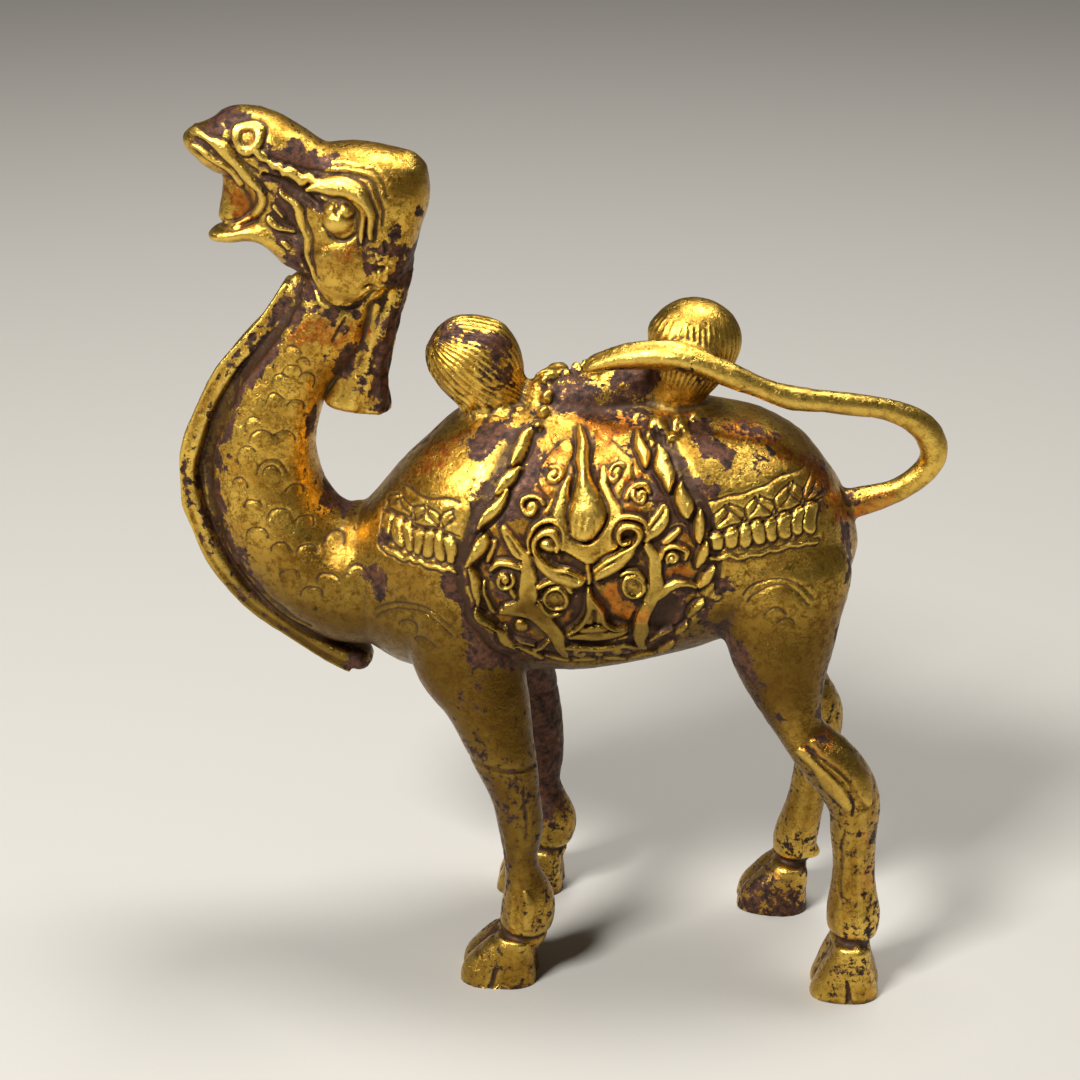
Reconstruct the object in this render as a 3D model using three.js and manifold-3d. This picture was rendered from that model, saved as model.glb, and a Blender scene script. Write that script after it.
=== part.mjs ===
// A gilt bronze camel, cast as one piece: it stands with its head thrown up and its mouth open.
// Millimetres, +Z up. The head points to -X, the near flank faces -Y, and the soles stand on Z = 0.
import * as THREE from 'three';
import { mergeVertices } from 'three/addons/utils/BufferGeometryUtils.js';
import Module from 'manifold-3d';

const wasm = await Module();
wasm.setup();

const NEAR = -1;
const FAR = 1;

// How far a sweep's rings crowd towards its two ends, from 0 for evenly spaced to 1.
const END_CROWDING = 0.6;

// Torso: a row every TORSO_STEP along X, from the chest to the rump, holding back, belly and half-width.
const TORSO_START = -32;
const TORSO_STEP = 6;
const TORSO_POWER = 2.3;
const TORSO = [
  [61, 50, 5.5], [66, 45.4, 9], [73.4, 42.6, 12.5], [78.4, 42.8, 14.6], [80.6, 43.2, 15.6],
  [81.4, 43.2, 16], [81.6, 43.6, 16.2], [81.4, 44.6, 16], [81.2, 46.3, 15.4], [80.6, 48.6, 14.4],
  [79, 50.4, 13], [74.6, 52, 11], [66, 57, 5],
];

// Every other form is a sweep: rows of x, y, z of the centre, half-size across the path, half-width in Y.
const NECK = [
  [-27.8, 0, 99, 6, 5.4], [-31, 0, 91, 5.9, 5.2], [-35.8, 0, 85, 5.7, 5.4], [-39.3, 0, 78.5, 6.7, 6.2],
  [-40.5, 0, 72, 7.5, 6.9], [-39.3, 0, 64.5, 8.2, 7.5], [-35.5, 0, 58.5, 8.9, 8.2], [-29, 0, 55, 10, 9],
  [-20, 0, 57, 12, 11],
];
const THROAT_FRINGE = [
  [-34.2, 0, 97.5, 1, 1.6], [-38.4, 0, 90.9, 1.2, 2.6], [-44.1, 0, 84.5, 1.3, 3.1],
  [-47.7, 0, 78.1, 1.3, 3.4], [-49.8, 0, 72, 1.3, 3.6], [-49.9, 0, 67.2, 1.3, 3.7],
  [-48.4, 0, 61.5, 1.3, 3.8], [-46.1, 0, 56.6, 1.3, 3.8], [-42.9, 0, 52.3, 1.3, 3.8],
  [-37.5, 0, 48, 1.3, 3.7], [-32, 0, 44.3, 1.5, 3.5], [-26.4, 0, 41.6, 2, 3.2],
];
const THROAT_WEB = [
  [-33, 0, 96, 2, 1.6], [-45, 0, 78, 3, 2], [-47, 0, 66, 3.4, 2.2], [-42, 0, 55, 3.4, 2.4],
  [-27, 0, 46, 3.4, 2.6],
];
const NAPE_MANE = [
  [-21.6, 0, 101.5, 2.8, 2.6], [-23.4, 0, 95.5, 3.1, 2.8], [-25.2, 0, 90, 3.3, 2.8],
  [-26.6, 0, 84.5, 3.6, 2.6], [-27.6, 0, 78.4, 4.7, 2.8],
];
const SKULL = [
  [-28.2, 0, 93.4, 3, 3.4], [-27.6, 0, 97, 5.4, 5.4], [-26.6, 0, 101, 7.3, 6], [-26.2, 0, 105.5, 8, 6.2],
  [-25.7, 0, 110, 8.6, 5.8], [-25.3, 0, 114.9, 7.4, 3.8],
];
const MUZZLE = [
  [-27, 0, 106.5, 7, 5.6], [-33, 0, 109.4, 5.9, 5.2], [-37, 0, 112.3, 5.4, 4.8], [-40.6, 0, 114.8, 4.9, 4.6],
  [-44.3, 0, 114.5, 3.9, 4.2], [-47.2, 0, 114.9, 2, 3.2], [-49.2, 0, 115.1, 0.9, 1.6],
];
const MOUTH_BACK = [
  [-33, 0, 100, 3.5, 4.2], [-36, 0, 103, 3.4, 3.9], [-37.6, 0, 106.6, 3, 3.7], [-37.6, 0, 110, 2.6, 3.6],
];
const MOUTH_INSIDE = [[-41.4, 0, 113, 3, 2.2], [-41.2, 0, 108.6, 3.2, 2.2], [-41.4, 0, 103.6, 4, 2.4]];
const LOWER_JAW = [
  [-30, 0, 99, 3.4, 4.4], [-35, 0, 101.4, 2.7, 4.2], [-39.5, 0, 103.3, 1.6, 3.8], [-43.6, 0, 102.8, 1.3, 3.6],
  [-46.7, 0, 102.3, 1, 2.4],
];
const FRONT_HUMP = [
  [-7.4, 0, 77, 4.4, 4.2], [-9.2, 0, 81.6, 5, 4.6], [-11.3, 0, 85.4, 5.9, 5.3], [-13.6, 0, 89, 5.4, 4.9],
  [-15.5, 0, 92.4, 3.7, 3.4],
];
const REAR_HUMP = [
  [14, 0, 76, 3.8, 3.8], [15, 0, 81.5, 3.8, 3.8], [16.5, 0, 86, 4.8, 4.6], [18, 0, 90.6, 5.5, 5],
  [19, 0, 95.4, 3.8, 3.4],
];
const HUMP_FLUTES = { cap: 0.3, flutes: 10, fluteDepth: 0.04 };
const TAIL = [
  [34, 0, 66.5, 2.6, 2.4], [39.5, 0, 67.6, 2.1, 1.9], [45.2, 0, 69.6, 1.8, 1.7], [49.67, 0, 73.8, 1.9, 1.8],
  [48.3, -0.6, 78.6, 1.8, 1.7], [43.6, -1.8, 82, 1.5, 1.5], [36, -3.8, 83.2, 1.4, 1.4],
  [29.5, -5.2, 84.6, 1.4, 1.4], [22, -6.2, 88, 1.5, 1.4], [13.8, -6.3, 90.6, 1.6, 1.4],
  [7, -5.2, 88.6, 1.1, 1.1], [3.2, -4, 85.8, 0.8, 0.8],
];

// Legs, in the same rows. Both fore legs share one shape, the far one FAR_STEP behind the near one.
const FAR_STEP = 1;
const FORE_LEG = [
  [-12, 5.6, 65, 7.6, 6.6], [-12.2, 7.2, 56, 8.6, 7.6], [-11.9, 8.6, 48, 7.9, 6.6],
  [-9.2, 10.4, 41, 5.9, 5.4], [-7.1, 11.6, 35, 4.5, 4.6], [-5.4, 12, 29, 3.7, 3.8],
  [-4.5, 12.1, 23, 3, 3.2], [-4.4, 12.2, 17.4, 2.4, 2.7], [-3.3, 12.3, 11.4, 3.7, 3.9],
  [-4.4, 12.3, 6, 3.4, 3.8], [-5.5, 12.3, 2, 3, 3.4],
];
const NEAR_HIND_LEG = [
  [29, 4.6, 69, 8, 6.2], [29.3, 6.6, 61, 9.8, 7], [29.9, 8.2, 53, 8, 6.3], [30.9, 9.8, 45.6, 5.6, 5],
  [33, 11, 39, 3.2, 3.7], [37.6, 11.6, 34.2, 3.9, 4], [40.6, 11.7, 29, 3.7, 3.7],
  [40.8, 11.7, 24, 3.1, 3.1], [41.2, 11.7, 18.4, 2.8, 2.9], [41.4, 11.7, 11.5, 3.8, 3.8],
  [40.8, 11.7, 4, 3.4, 3.6],
];
const FAR_HIND_LEG = [
  [29, 4.6, 69, 8, 6.2], [29.3, 6.4, 61, 9.8, 7], [29.9, 7.8, 53, 8, 6.3], [30.7, 8.8, 45.6, 5.6, 5],
  [32.8, 9.8, 39, 3.3, 3.7], [35.7, 10.2, 33, 3.7, 3.9], [36.4, 10.4, 28.6, 3.2, 3.5],
  [35.8, 10.4, 24, 2.7, 3], [35.1, 10.4, 18.4, 2.5, 2.8], [34, 10.4, 11.5, 3.2, 3.5],
  [32.4, 10.4, 4, 3, 3.3],
];

// A foot has two toes side by side: heel x, toe-tip x, centre y, half-width of a toe and height at the heel.
const FEET = [
  { heel: -1.8, tip: -12.6, y: -12.4, toeWidth: 2.5, height: 7 },
  { heel: -0.2, tip: -10.2, y: 12.6, toeWidth: 2.5, height: 7 },
  { heel: 45.5, tip: 36, y: -11.8, toeWidth: 2.6, height: 8 },
  { heel: 36.2, tip: 25.6, y: 10.4, toeWidth: 2.5, height: 7 },
];
const GROUND = [200, 100, 20];
const TOE_GAP = 0.45;
const TOE_SPLAY = 0.35;

// Curly tufts: a ring round the foot of each hump, and a row along the back between the humps.
const TUFT_SIZE = 2.1;
const TUFT_RINGS = [{ x: -7.8, z: 80.2, radius: 4.6, count: 5 }, { x: 14.6, z: 79.6, radius: 4.2, count: 5 }];
const TUFT_ROW = [[-2.6, -1.2, 83], [0.2, 1.2, 82.4], [2.8, -1, 83.6], [5.8, 1.2, 82.2], [8.6, -1, 82]];

// Saddle cloth on each flank: an oval with a rope border, drawn in X and Z on the torso's side.
const CLOTH = { x: 4.6, z: 61.5, halfLength: 15.6, halfDrop: 14.6, topZ: 79.5, topHalf: 5 };
const ROPE = { beads: 18, length: 4.6, thick: 1.25, twist: 0.45, opening: 0.62 };
const STROKE_HEIGHT = 0.85;
const MASK = {
  drop: [[2.9, 79.6, 0.6], [3.4, 75.5, 0.9], [4, 72, 1.5], [4.4, 69.5, 2.3], [4.5, 67.4, 1.2]],
  brows: [
    [[-2.2, 67, 0.8], [-0.6, 68.2, 0.9], [0.9, 67, 0.9], [-0.6, 65, 1], [1.6, 62.8, 1.1], [5, 61.6, 0.7]],
    [[12.4, 69, 0.8], [11.2, 70, 0.9], [10.2, 68.6, 0.9], [11.4, 67, 1], [9.4, 64.4, 1.1], [5.8, 61.8, 0.7]],
  ],
  cheeks: [
    [[0.9, 74, 0.8], [-0.6, 69.5, 0.9], [2, 65.6, 1.3], [6, 65, 1.4], [9.4, 66.4, 1.1]],
    [[7.6, 74.4, 0.8], [9, 71.4, 1], [12.6, 71.4, 1.2], [13.9, 68.6, 1]],
    [[-6.2, 68.8, 1], [-4, 65.2, 1.3], [-3.3, 61.4, 1.1], [-4.3, 57, 0.9], [-6.2, 56.6, 0.7]],
    [[12.9, 67, 0.8], [13.3, 63.4, 1.2], [13.2, 60, 1], [16.4, 58.4, 0.7]],
    [[1.6, 54.6, 0.7], [3.8, 55.2, 1], [5.2, 58.9, 0.8]],
    [[9.6, 55, 0.7], [7, 55.2, 1], [5.2, 58.9, 0.8]],
    [[1, 51.4, 0.6], [5.6, 52.4, 0.9], [10.6, 51.4, 0.6]],
  ],
  eyes: [[0.4, 58.7, 1.9], [10.8, 61.2, 1.7]],
  curls: [[-2.8, 71.1, 1.3], [-6.1, 61.3, 1.6], [11.3, 73.2, 1.1], [15.5, 65.3, 1.6]],
  studs: [[3.8, 48.6, 1.1], [8.5, 48.3, 1.1]],
};
const BANDS = [
  { start: -22.5, end: -12, z: [69.6, 65.4], rise: 0.13, petals: 6 },
  { start: 20.5, end: 33, z: [72.6, 68.4], rise: 0.1, petals: 6 },
];

// The knob of hair at the back of the crown.
const TOPKNOT = { x: -20.3, z: 111.3, radius: 3.4 };

// Face, on each side of the head.
const EYE = { x: -28.9, y: 5.3, z: 106.4, radius: 2 };
const NOSTRIL = { x: -40.6, y: 4, z: 116, radius: 1.6, wall: 0.7 };
const BROW = [
  [-37.6, 4, 110.4, 0.7, 0.7], [-33.4, 4.8, 109, 0.8, 0.8], [-29.6, 5.6, 110, 1.1, 0.9],
  [-25.6, 5.7, 108.4, 1.2, 0.9], [-24.4, 5.8, 105, 0.9, 0.8], [-23.4, 5.7, 101.6, 0.8, 0.8],
];
const CHEEK_EDGE = [
  [-35, 4.3, 107.6, 0.6, 0.7], [-33.4, 4.9, 103, 0.7, 0.8], [-32.4, 4.8, 98.4, 0.7, 0.8],
  [-28.6, 4.4, 95, 0.6, 0.8], [-24.4, 4.6, 96.6, 0.7, 0.8],
];
const LIP = [
  [-47.8, 2, 114, 0.5, 0.7], [-45, 3.4, 112.6, 0.6, 0.7], [-41.8, 3.9, 110.6, 0.7, 0.7],
  [-39.4, 3.9, 107, 0.7, 0.7],
];

// Makes one closed, outward-facing solid of a three.js shape whose doubled vertices are merged.
function toSolid(shape) {
  shape.deleteAttribute('normal');
  shape.deleteAttribute('uv');
  const merged = mergeVertices(shape, 1e-4);
  const points = merged.attributes.position.array;
  const faces = [];
  const corner = [new THREE.Vector3(), new THREE.Vector3(), new THREE.Vector3()];
  let volume = 0;
  for (let i = 0; i < merged.index.count; i += 3) {
    const [a, b, c] = [merged.index.getX(i), merged.index.getX(i + 1), merged.index.getX(i + 2)];
    if (a === b || b === c || a === c) continue;
    [a, b, c].forEach((vertex, k) => corner[k].fromArray(points, vertex * 3));
    volume += corner[0].dot(corner[1].clone().cross(corner[2]));
    faces.push([a, b, c]);
  }
  const outward = volume > 0 ? faces : faces.map(([a, b, c]) => [a, c, b]);
  return new wasm.Manifold(new wasm.Mesh({
    numProp: 3, vertProperties: Float32Array.from(points), triVerts: Uint32Array.from(outward.flat()),
  }));
}

// A smooth curve through a list of points.
function curveThrough(points) {
  const vectors = points.map((point) => new THREE.Vector3(...point));
  return new THREE.CatmullRomCurve3(vectors, false, 'catmullrom');
}

// Bends a sphere's rings along the rows of a sweep, upright or square to the path; round caps close the ends.
// A power above 2 squares the section, and flutes are grooves that run from end to end.
function sweep(rows, sides, rings, options = {}) {
  const { power = 2, cap = 0.12, flutes = 0, fluteDepth = 0, upright = false, phase = 0 } = options;
  const path = curveThrough(rows.map(([x, y, z]) => [x, y, z]));
  const size = curveThrough(rows.map(([, , , halfDeep, halfWide]) => [halfDeep, halfWide, 0]));
  const shape = new THREE.SphereGeometry(1, sides, rings);
  const { position, uv } = shape.attributes;
  const sideways = new THREE.Vector3(0, 1, 0);
  const squared = (value) => Math.sign(value) * Math.abs(value) ** (2 / power);
  for (let i = 0; i < position.count; i += 1) {
    const ring = Math.round((1 - uv.getY(i)) * rings) / rings;
    const crowded = 0.5 - 0.5 * Math.cos(Math.PI * ring);
    const t = THREE.MathUtils.lerp(ring, crowded, END_CROWDING);
    const nearEnd = Math.min(1, Math.min(t, 1 - t) / cap);
    const closing = Math.sqrt(1 - (1 - nearEnd) ** 2);
    const turn = 2 * Math.PI * (uv.getX(i) + phase);
    const groove = 1 + fluteDepth * Math.cos(flutes * turn);
    const along = path.getTangent(t);
    if (upright) along.set(1, 0, 0);
    const deep = new THREE.Vector3().crossVectors(along, sideways).normalize();
    const wide = new THREE.Vector3().crossVectors(deep, along);
    const { x: halfDeep, y: halfWide } = size.getPoint(t);
    const point = path.getPoint(t);
    point.addScaledVector(deep, halfDeep * closing * groove * squared(Math.cos(turn)));
    point.addScaledVector(wide, halfWide * closing * groove * squared(Math.sin(turn)));
    position.setXYZ(i, point.x, point.y, point.z);
  }
  return toSolid(shape);
}

function ball(x, y, z, radius, sides = 8, rings = 5) {
  return toSolid(new THREE.SphereGeometry(radius, sides, rings).translate(x, y, z));
}

// Half-height, mid-height and half-width of the torso at one place along X.
function torsoAt(x) {
  const rows = TORSO.map(([back, belly, half]) => [(back + belly) / 2, (back - belly) / 2, half]);
  const t = (x - TORSO_START) / (TORSO_STEP * (TORSO.length - 1));
  const { x: middle, y: half, z: wide } = curveThrough(rows).getPoint(THREE.MathUtils.clamp(t, 0, 1));
  return { middle, half, wide };
}

// The torso's side, as a distance from the middle plane.
function flankDepth(x, z) {
  const { middle, half, wide } = torsoAt(x);
  const off = Math.min(0.995, Math.abs(z - middle) / half);
  return wide * (1 - off ** TORSO_POWER) ** (1 / TORSO_POWER);
}

// A stroke raised from the flank: points of x, z and half-width, laid on the surface all along.
function stroke(points, side, { sides = 3, rings = 5 } = {}) {
  const rows = curveThrough(points).getPoints(rings).map(({ x, y: z, z: half }) => [
    x, side * flankDepth(x, z), z, half, half * STROKE_HEIGHT,
  ]);
  return sweep(rows, sides, rings, { cap: 0.15, phase: side * 0.25 });
}

// The rope border runs round the oval and is left open at the top, where the two ends climb to the saddle.
function clothEdge(turn) {
  const { x, z, halfLength, halfDrop, topZ, topHalf } = CLOTH;
  const up = Math.max(0, Math.cos(turn));
  const half = THREE.MathUtils.lerp(halfLength, topHalf, up ** 3);
  const rise = THREE.MathUtils.lerp(halfDrop, topZ - z, up);
  return [x + half * Math.sin(turn), z + rise * Math.cos(turn)];
}

function ropeBeads(side) {
  const beads = [];
  for (let i = 0; i < ROPE.beads; i += 1) {
    const turn = THREE.MathUtils.lerp(ROPE.opening, 2 * Math.PI - ROPE.opening, i / (ROPE.beads - 1));
    const [x, z] = clothEdge(turn);
    const [nextX, nextZ] = clothEdge(turn + 0.05);
    const angle = Math.atan2(nextZ - z, nextX - x) + ROPE.twist;
    const [dx, dz] = [Math.cos(angle) * ROPE.length / 2, Math.sin(angle) * ROPE.length / 2];
    const thin = ROPE.thick * 0.6;
    const points = [[x - dx, z - dz, thin], [x, z, ROPE.thick], [x + dx, z + dz, thin]];
    beads.push(stroke(points, side, { sides: 4, rings: 2 }));
  }
  return beads;
}

function mask(side) {
  const { drop, brows, cheeks, eyes, curls, studs } = MASK;
  const raised = [stroke(drop, side, { sides: 6, rings: 6 })];
  [...brows, ...cheeks].forEach((points) => raised.push(stroke(points, side)));
  eyes.forEach(([x, z, radius]) => raised.push(ball(x, side * (flankDepth(x, z) - 0.5), z, radius, 6, 4)));
  if (side === FAR) return raised;
  studs.forEach(([x, z, radius]) => raised.push(ball(x, side * (flankDepth(x, z) - 0.2), z, radius, 5, 3)));
  curls.forEach(([x, z, radius]) => {
    const ring = new THREE.TorusGeometry(radius, 0.6, 3, 7).rotateX(Math.PI / 2);
    raised.push(toSolid(ring.translate(x, side * flankDepth(x, z), z)));
  });
  return raised;
}

// Bands across shoulder and rump: two cords with a row of pleats between them.
function bands(side) {
  const raised = [];
  for (const { start, end, z, rise, petals } of BANDS) {
    const slope = (x) => rise * (x - start);
    for (const height of z) {
      const points = [start, end].map((x) => [x, height + slope(x), 0.55]);
      raised.push(stroke(points, side, { rings: 4 }));
    }
    for (let i = 0; i < petals; i += 1) {
      const x = THREE.MathUtils.lerp(start, end, (i + 0.5) / petals);
      const top = z[1] + slope(x);
      raised.push(stroke([[x, top - 0.4, 0.75], [x, top - 3.4, 0.75]], side, { sides: 4, rings: 2 }));
    }
  }
  return raised;
}

// One toe rises from the sole to the fetlock, longest at the ground.
function toes({ heel, tip, y, toeWidth, height }) {
  return [-1, 1].map((half) => {
    const middle = (heel + tip) / 2;
    const long = (heel - tip) / 2;
    const across = y + half * (toeWidth - TOE_GAP);
    const rows = [
      [middle - TOE_SPLAY, across, -1.6, long, toeWidth], [middle, across, 0.6, long, toeWidth],
      [middle + long * 0.16, across, height * 0.45, long * 0.8, toeWidth * 0.95],
      [middle + long * 0.36, across, height * 0.8, long * 0.55, toeWidth * 0.9],
      [middle + long * 0.42, across, height * 1.1, long * 0.42, toeWidth * 0.8],
    ];
    return sweep(rows, 6, 4, { power: 2.4, cap: 0.08 });
  });
}

function mirrored(rows, side) {
  return rows.map(([x, y, z, deep, wide]) => [x, side * y, z, deep, wide]);
}

function tufts() {
  const places = [...TUFT_ROW];
  for (const { x, z, radius, count } of TUFT_RINGS) {
    for (let i = 0; i < count; i += 1) {
      const turn = (2 * Math.PI * i) / count;
      places.push([x + radius * Math.cos(turn), radius * Math.sin(turn), z]);
    }
  }
  return places.map(([x, y, z]) => ball(x, y, z, TUFT_SIZE, 5, 3));
}

function torso() {
  const rows = TORSO.map(([back, belly, wide], i) => [
    TORSO_START + TORSO_STEP * i, 0, (back + belly) / 2, (back - belly) / 2, wide,
  ]);
  return sweep(rows, 18, 15, { power: TORSO_POWER, cap: 0.05, upright: true });
}

function head() {
  const solids = [
    sweep(SKULL, 12, 8, { power: 2.5, cap: 0.1 }), sweep(MUZZLE, 10, 8, { power: 2.3 }),
    sweep(MOUTH_BACK, 8, 5), sweep(MOUTH_INSIDE, 6, 4), sweep(LOWER_JAW, 8, 7, { power: 2.4 }),
    ball(TOPKNOT.x, 0, TOPKNOT.z, TOPKNOT.radius),
  ];
  for (const side of [NEAR, FAR]) {
    solids.push(ball(EYE.x, side * EYE.y, EYE.z, EYE.radius, 7, 4));
    const nostril = new THREE.TorusGeometry(NOSTRIL.radius, NOSTRIL.wall, 4, 8).rotateX(Math.PI / 2);
    solids.push(toSolid(nostril.translate(NOSTRIL.x, side * NOSTRIL.y, NOSTRIL.z)));
    [BROW, CHEEK_EDGE, LIP].forEach((line) => solids.push(sweep(mirrored(line, side), 3, 6)));
  }
  return solids;
}

function camel() {
  const farForeLeg = FORE_LEG.map(([x, ...rest]) => [x + FAR_STEP, ...rest]);
  const solids = [
    torso(), sweep(NECK, 12, 10), sweep(THROAT_FRINGE, 6, 16, { power: 2.6, cap: 0.04 }),
    sweep(THROAT_WEB, 6, 8), sweep(NAPE_MANE, 6, 6, { power: 2.8, cap: 0.05 }), ...head(),
    sweep(FRONT_HUMP, 2 * HUMP_FLUTES.flutes, 6, HUMP_FLUTES),
    sweep(REAR_HUMP, 2 * HUMP_FLUTES.flutes, 6, HUMP_FLUTES),
    sweep(TAIL, 6, 22, { cap: 0.04 }), ...tufts(),
    sweep(mirrored(FORE_LEG, NEAR), 8, 12), sweep(farForeLeg, 8, 12),
    sweep(mirrored(NEAR_HIND_LEG, NEAR), 8, 13), sweep(FAR_HIND_LEG, 8, 13),
    ...FEET.flatMap(toes),
  ];
  for (const side of [NEAR, FAR]) solids.push(...ropeBeads(side), ...mask(side), ...bands(side));
  const whole = solids.reduce((sum, solid) => sum.add(solid));
  const ground = toSolid(new THREE.BoxGeometry(...GROUND).translate(0, 0, -GROUND[2] / 2));
  return whole.subtract(ground);
}

function toGeometry(solid) {
  const { vertProperties, triVerts } = solid.getMesh();
  const geometry = new THREE.BufferGeometry();
  geometry.setAttribute('position', new THREE.BufferAttribute(Float32Array.from(vertProperties), 3));
  geometry.setIndex(new THREE.BufferAttribute(Uint32Array.from(triVerts), 1));
  geometry.computeVertexNormals();
  return geometry;
}

const gilt = new THREE.MeshStandardMaterial({ color: 0xb8892a, roughness: 0.38, metalness: 1 });
const figure = new THREE.Mesh(toGeometry(camel()), gilt);
figure.name = 'camel';

const group = new THREE.Group();
group.add(figure);

export default group;
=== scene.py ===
# A worn gilt bronze camel: its chased relief, its gilding and patina, the studio light and the camera.
# Tables are in millimetres: the head points to -X, the near flank faces -Y, and the soles stand on Z = 0.
import math

import bmesh
import bpy
import numpy as np
from mathutils import Matrix, Vector


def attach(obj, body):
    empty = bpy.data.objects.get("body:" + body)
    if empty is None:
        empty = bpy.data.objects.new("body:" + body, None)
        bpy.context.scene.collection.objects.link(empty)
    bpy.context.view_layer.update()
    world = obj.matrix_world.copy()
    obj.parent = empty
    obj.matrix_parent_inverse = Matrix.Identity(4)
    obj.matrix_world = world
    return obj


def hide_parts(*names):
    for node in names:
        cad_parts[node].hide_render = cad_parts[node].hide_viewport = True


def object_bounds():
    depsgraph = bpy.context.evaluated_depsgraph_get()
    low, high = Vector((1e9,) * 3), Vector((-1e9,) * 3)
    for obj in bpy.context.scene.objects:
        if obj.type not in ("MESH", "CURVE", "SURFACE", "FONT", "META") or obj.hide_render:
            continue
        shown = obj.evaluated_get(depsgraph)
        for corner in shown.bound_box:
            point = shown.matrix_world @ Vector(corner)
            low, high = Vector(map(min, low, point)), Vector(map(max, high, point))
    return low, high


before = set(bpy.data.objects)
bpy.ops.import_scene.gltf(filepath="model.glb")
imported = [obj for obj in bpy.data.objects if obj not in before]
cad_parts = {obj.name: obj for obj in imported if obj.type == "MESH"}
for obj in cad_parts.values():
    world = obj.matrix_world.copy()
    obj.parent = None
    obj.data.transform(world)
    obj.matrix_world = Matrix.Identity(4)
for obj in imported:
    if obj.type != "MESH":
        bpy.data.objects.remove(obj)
CAD_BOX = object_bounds()
MM = 0.001
NEAR = -1
FAR = 1

# Studio, in metres: lamps with their place, width and height, and power in watts.
CAMERA_PLACE = (0.02343, -0.300955, 0.184605)
CAMERA_AIM = (-0.0029, 0, 0.060617)
LENS = 80
SENSOR = 36
AIM = Vector((-0.003, 0, 0.06))
LIGHTS = [
    ("key_softbox", (-0.35, -0.45, 0.62), (0.22, 0.16), 9),
    ("top_softbox", (0.1, 0.12, 0.8), (0.3, 0.2), 5.2),
]
AIR_COLOUR = "d6cfc4"
AIR_STRENGTH = 0.118
FLOOR_COLOUR = "b4b0a8"
FLOOR_REACH = 3

# Metal: the two tones of each ground, then the colours that cover them.
GOLD = ("c3953a", "e8bd52")
COPPERY = ("bb7228", "8a4a22")
PATINA = ("663f2a", "22140e")
THIN_GOLD = "94691f"
# Painted shade with some grime: the gold darkened low on the body and the cloth, and where it faces down.
SHADE_AND_GRIME_GOLD = "5c4319"
LINE_BROWN = "63431a"
# Rubbed gold on the heights, which also serves as a painted highlight.
RUBBED_GOLD_AND_HIGHLIGHT = "f0cb62"
DIRT_BROWN = "3f2812"
# Patterns of the gold, from blotches to grain: size in millimetres, detail and roughness.
GOLD_PATTERNS = [[7, 5, 0.5], [3, 5, 0.65], [1.1, 6, 0.7], [0.4, 3, 0.65]]

# Voxel sizes of the two castings of the mesh, and the triangles that the finished piece keeps.
ROUGH_VOXEL = 0.4
FINE_VOXEL = 0.2
TRIANGLES = 196_000
# Where the chasing is finest the mesh is thinned less: boxes of X and Z, and how strongly each side is kept.
DETAIL_BOXES = [
    [-13.4, 22.4, 46, 82], [-24, -12, 61, 72], [20, 35, 64, 77], [-50, -18, 93, 120], [-20, -4, 79, 98],
    [10, 26, 79, 98], [-47, -27, 52, 90],
]
KEPT_NEAR = 0.9
KEPT_FAR = 0.5
KEPT_COST = 0.004
# How far a sweep's rings crowd towards its ends, and the steps and blocks in which a path is searched.
END_CROWDING = 0.6
PATH_STEPS = 160
BLOCK = 20_000
# Drift: its waves, and the frequency per millimetre and the amount of each use.
DRIFT_SEED = 11
DRIFT_WAVES = 18
DRAWING_DRIFT = (0.2, 0.2)
WOOL_DRIFT = (0.35, 0.6)
SKIN_DRIFT = (0.09, 0.14)
SKIN_GRAIN = (0.45, 0.02)
EDGE_DRIFT = (0.16, 1)
EDGE_GRAIN = (0.5, 0.5)
# Rounds of smoothing that fine and broad hollows are measured against, and what each adds to the dirt.
FINE_ROUNDS = 14
BROAD_ROUNDS = 70
FINE_WEIGHT = 7
BROAD_WEIGHT = 1.2
LINE_WEIGHT = 3

# Torso: back, belly and half-width, in a row every TORSO_STEP along X.
TORSO_START = -32
TORSO_STEP = 6
TORSO_POWER = 2.3
TORSO = [
    [61, 50, 5.5], [66, 45.4, 9], [73.4, 42.6, 12.5], [78.4, 42.8, 14.6], [80.6, 43.2, 15.6],
    [81.4, 43.2, 16], [81.6, 43.6, 16.2], [81.4, 44.6, 16], [81.2, 46.3, 15.4], [80.6, 48.6, 14.4],
    [79, 50.4, 13], [74.6, 52, 11], [66, 57, 5],
]

# Sweeps: rows of x, y, z of the centre, half-size across the path and half-width in Y.
NECK = [
    [-27.8, 0, 99, 6, 5.4], [-31, 0, 91, 5.9, 5.2], [-35.8, 0, 85, 5.7, 5.4], [-39.3, 0, 78.5, 6.7, 6.2],
    [-40.5, 0, 72, 7.5, 6.9], [-39.3, 0, 64.5, 8.2, 7.5], [-35.5, 0, 58.5, 8.9, 8.2], [-29, 0, 55, 10, 9],
    [-20, 0, 57, 12, 11],
]
THROAT_FRINGE = [
    [-34.2, 0, 97.5, 1, 1.6], [-38.4, 0, 90.9, 1.2, 2.6], [-44.1, 0, 84.5, 1.2, 3.1],
    [-47.7, 0, 78.1, 1.2, 3.4], [-49.8, 0, 72, 1.2, 3.6], [-49.9, 0, 67.2, 1.2, 3.7],
    [-48.4, 0, 61.5, 1.2, 3.8], [-46.1, 0, 56.6, 1.2, 3.8], [-42.9, 0, 52.3, 1.2, 3.8],
    [-37.5, 0, 48, 1.2, 3.7], [-32, 0, 44.3, 1.3, 3.5], [-26.4, 0, 41.6, 1.7, 3.2],
]
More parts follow.
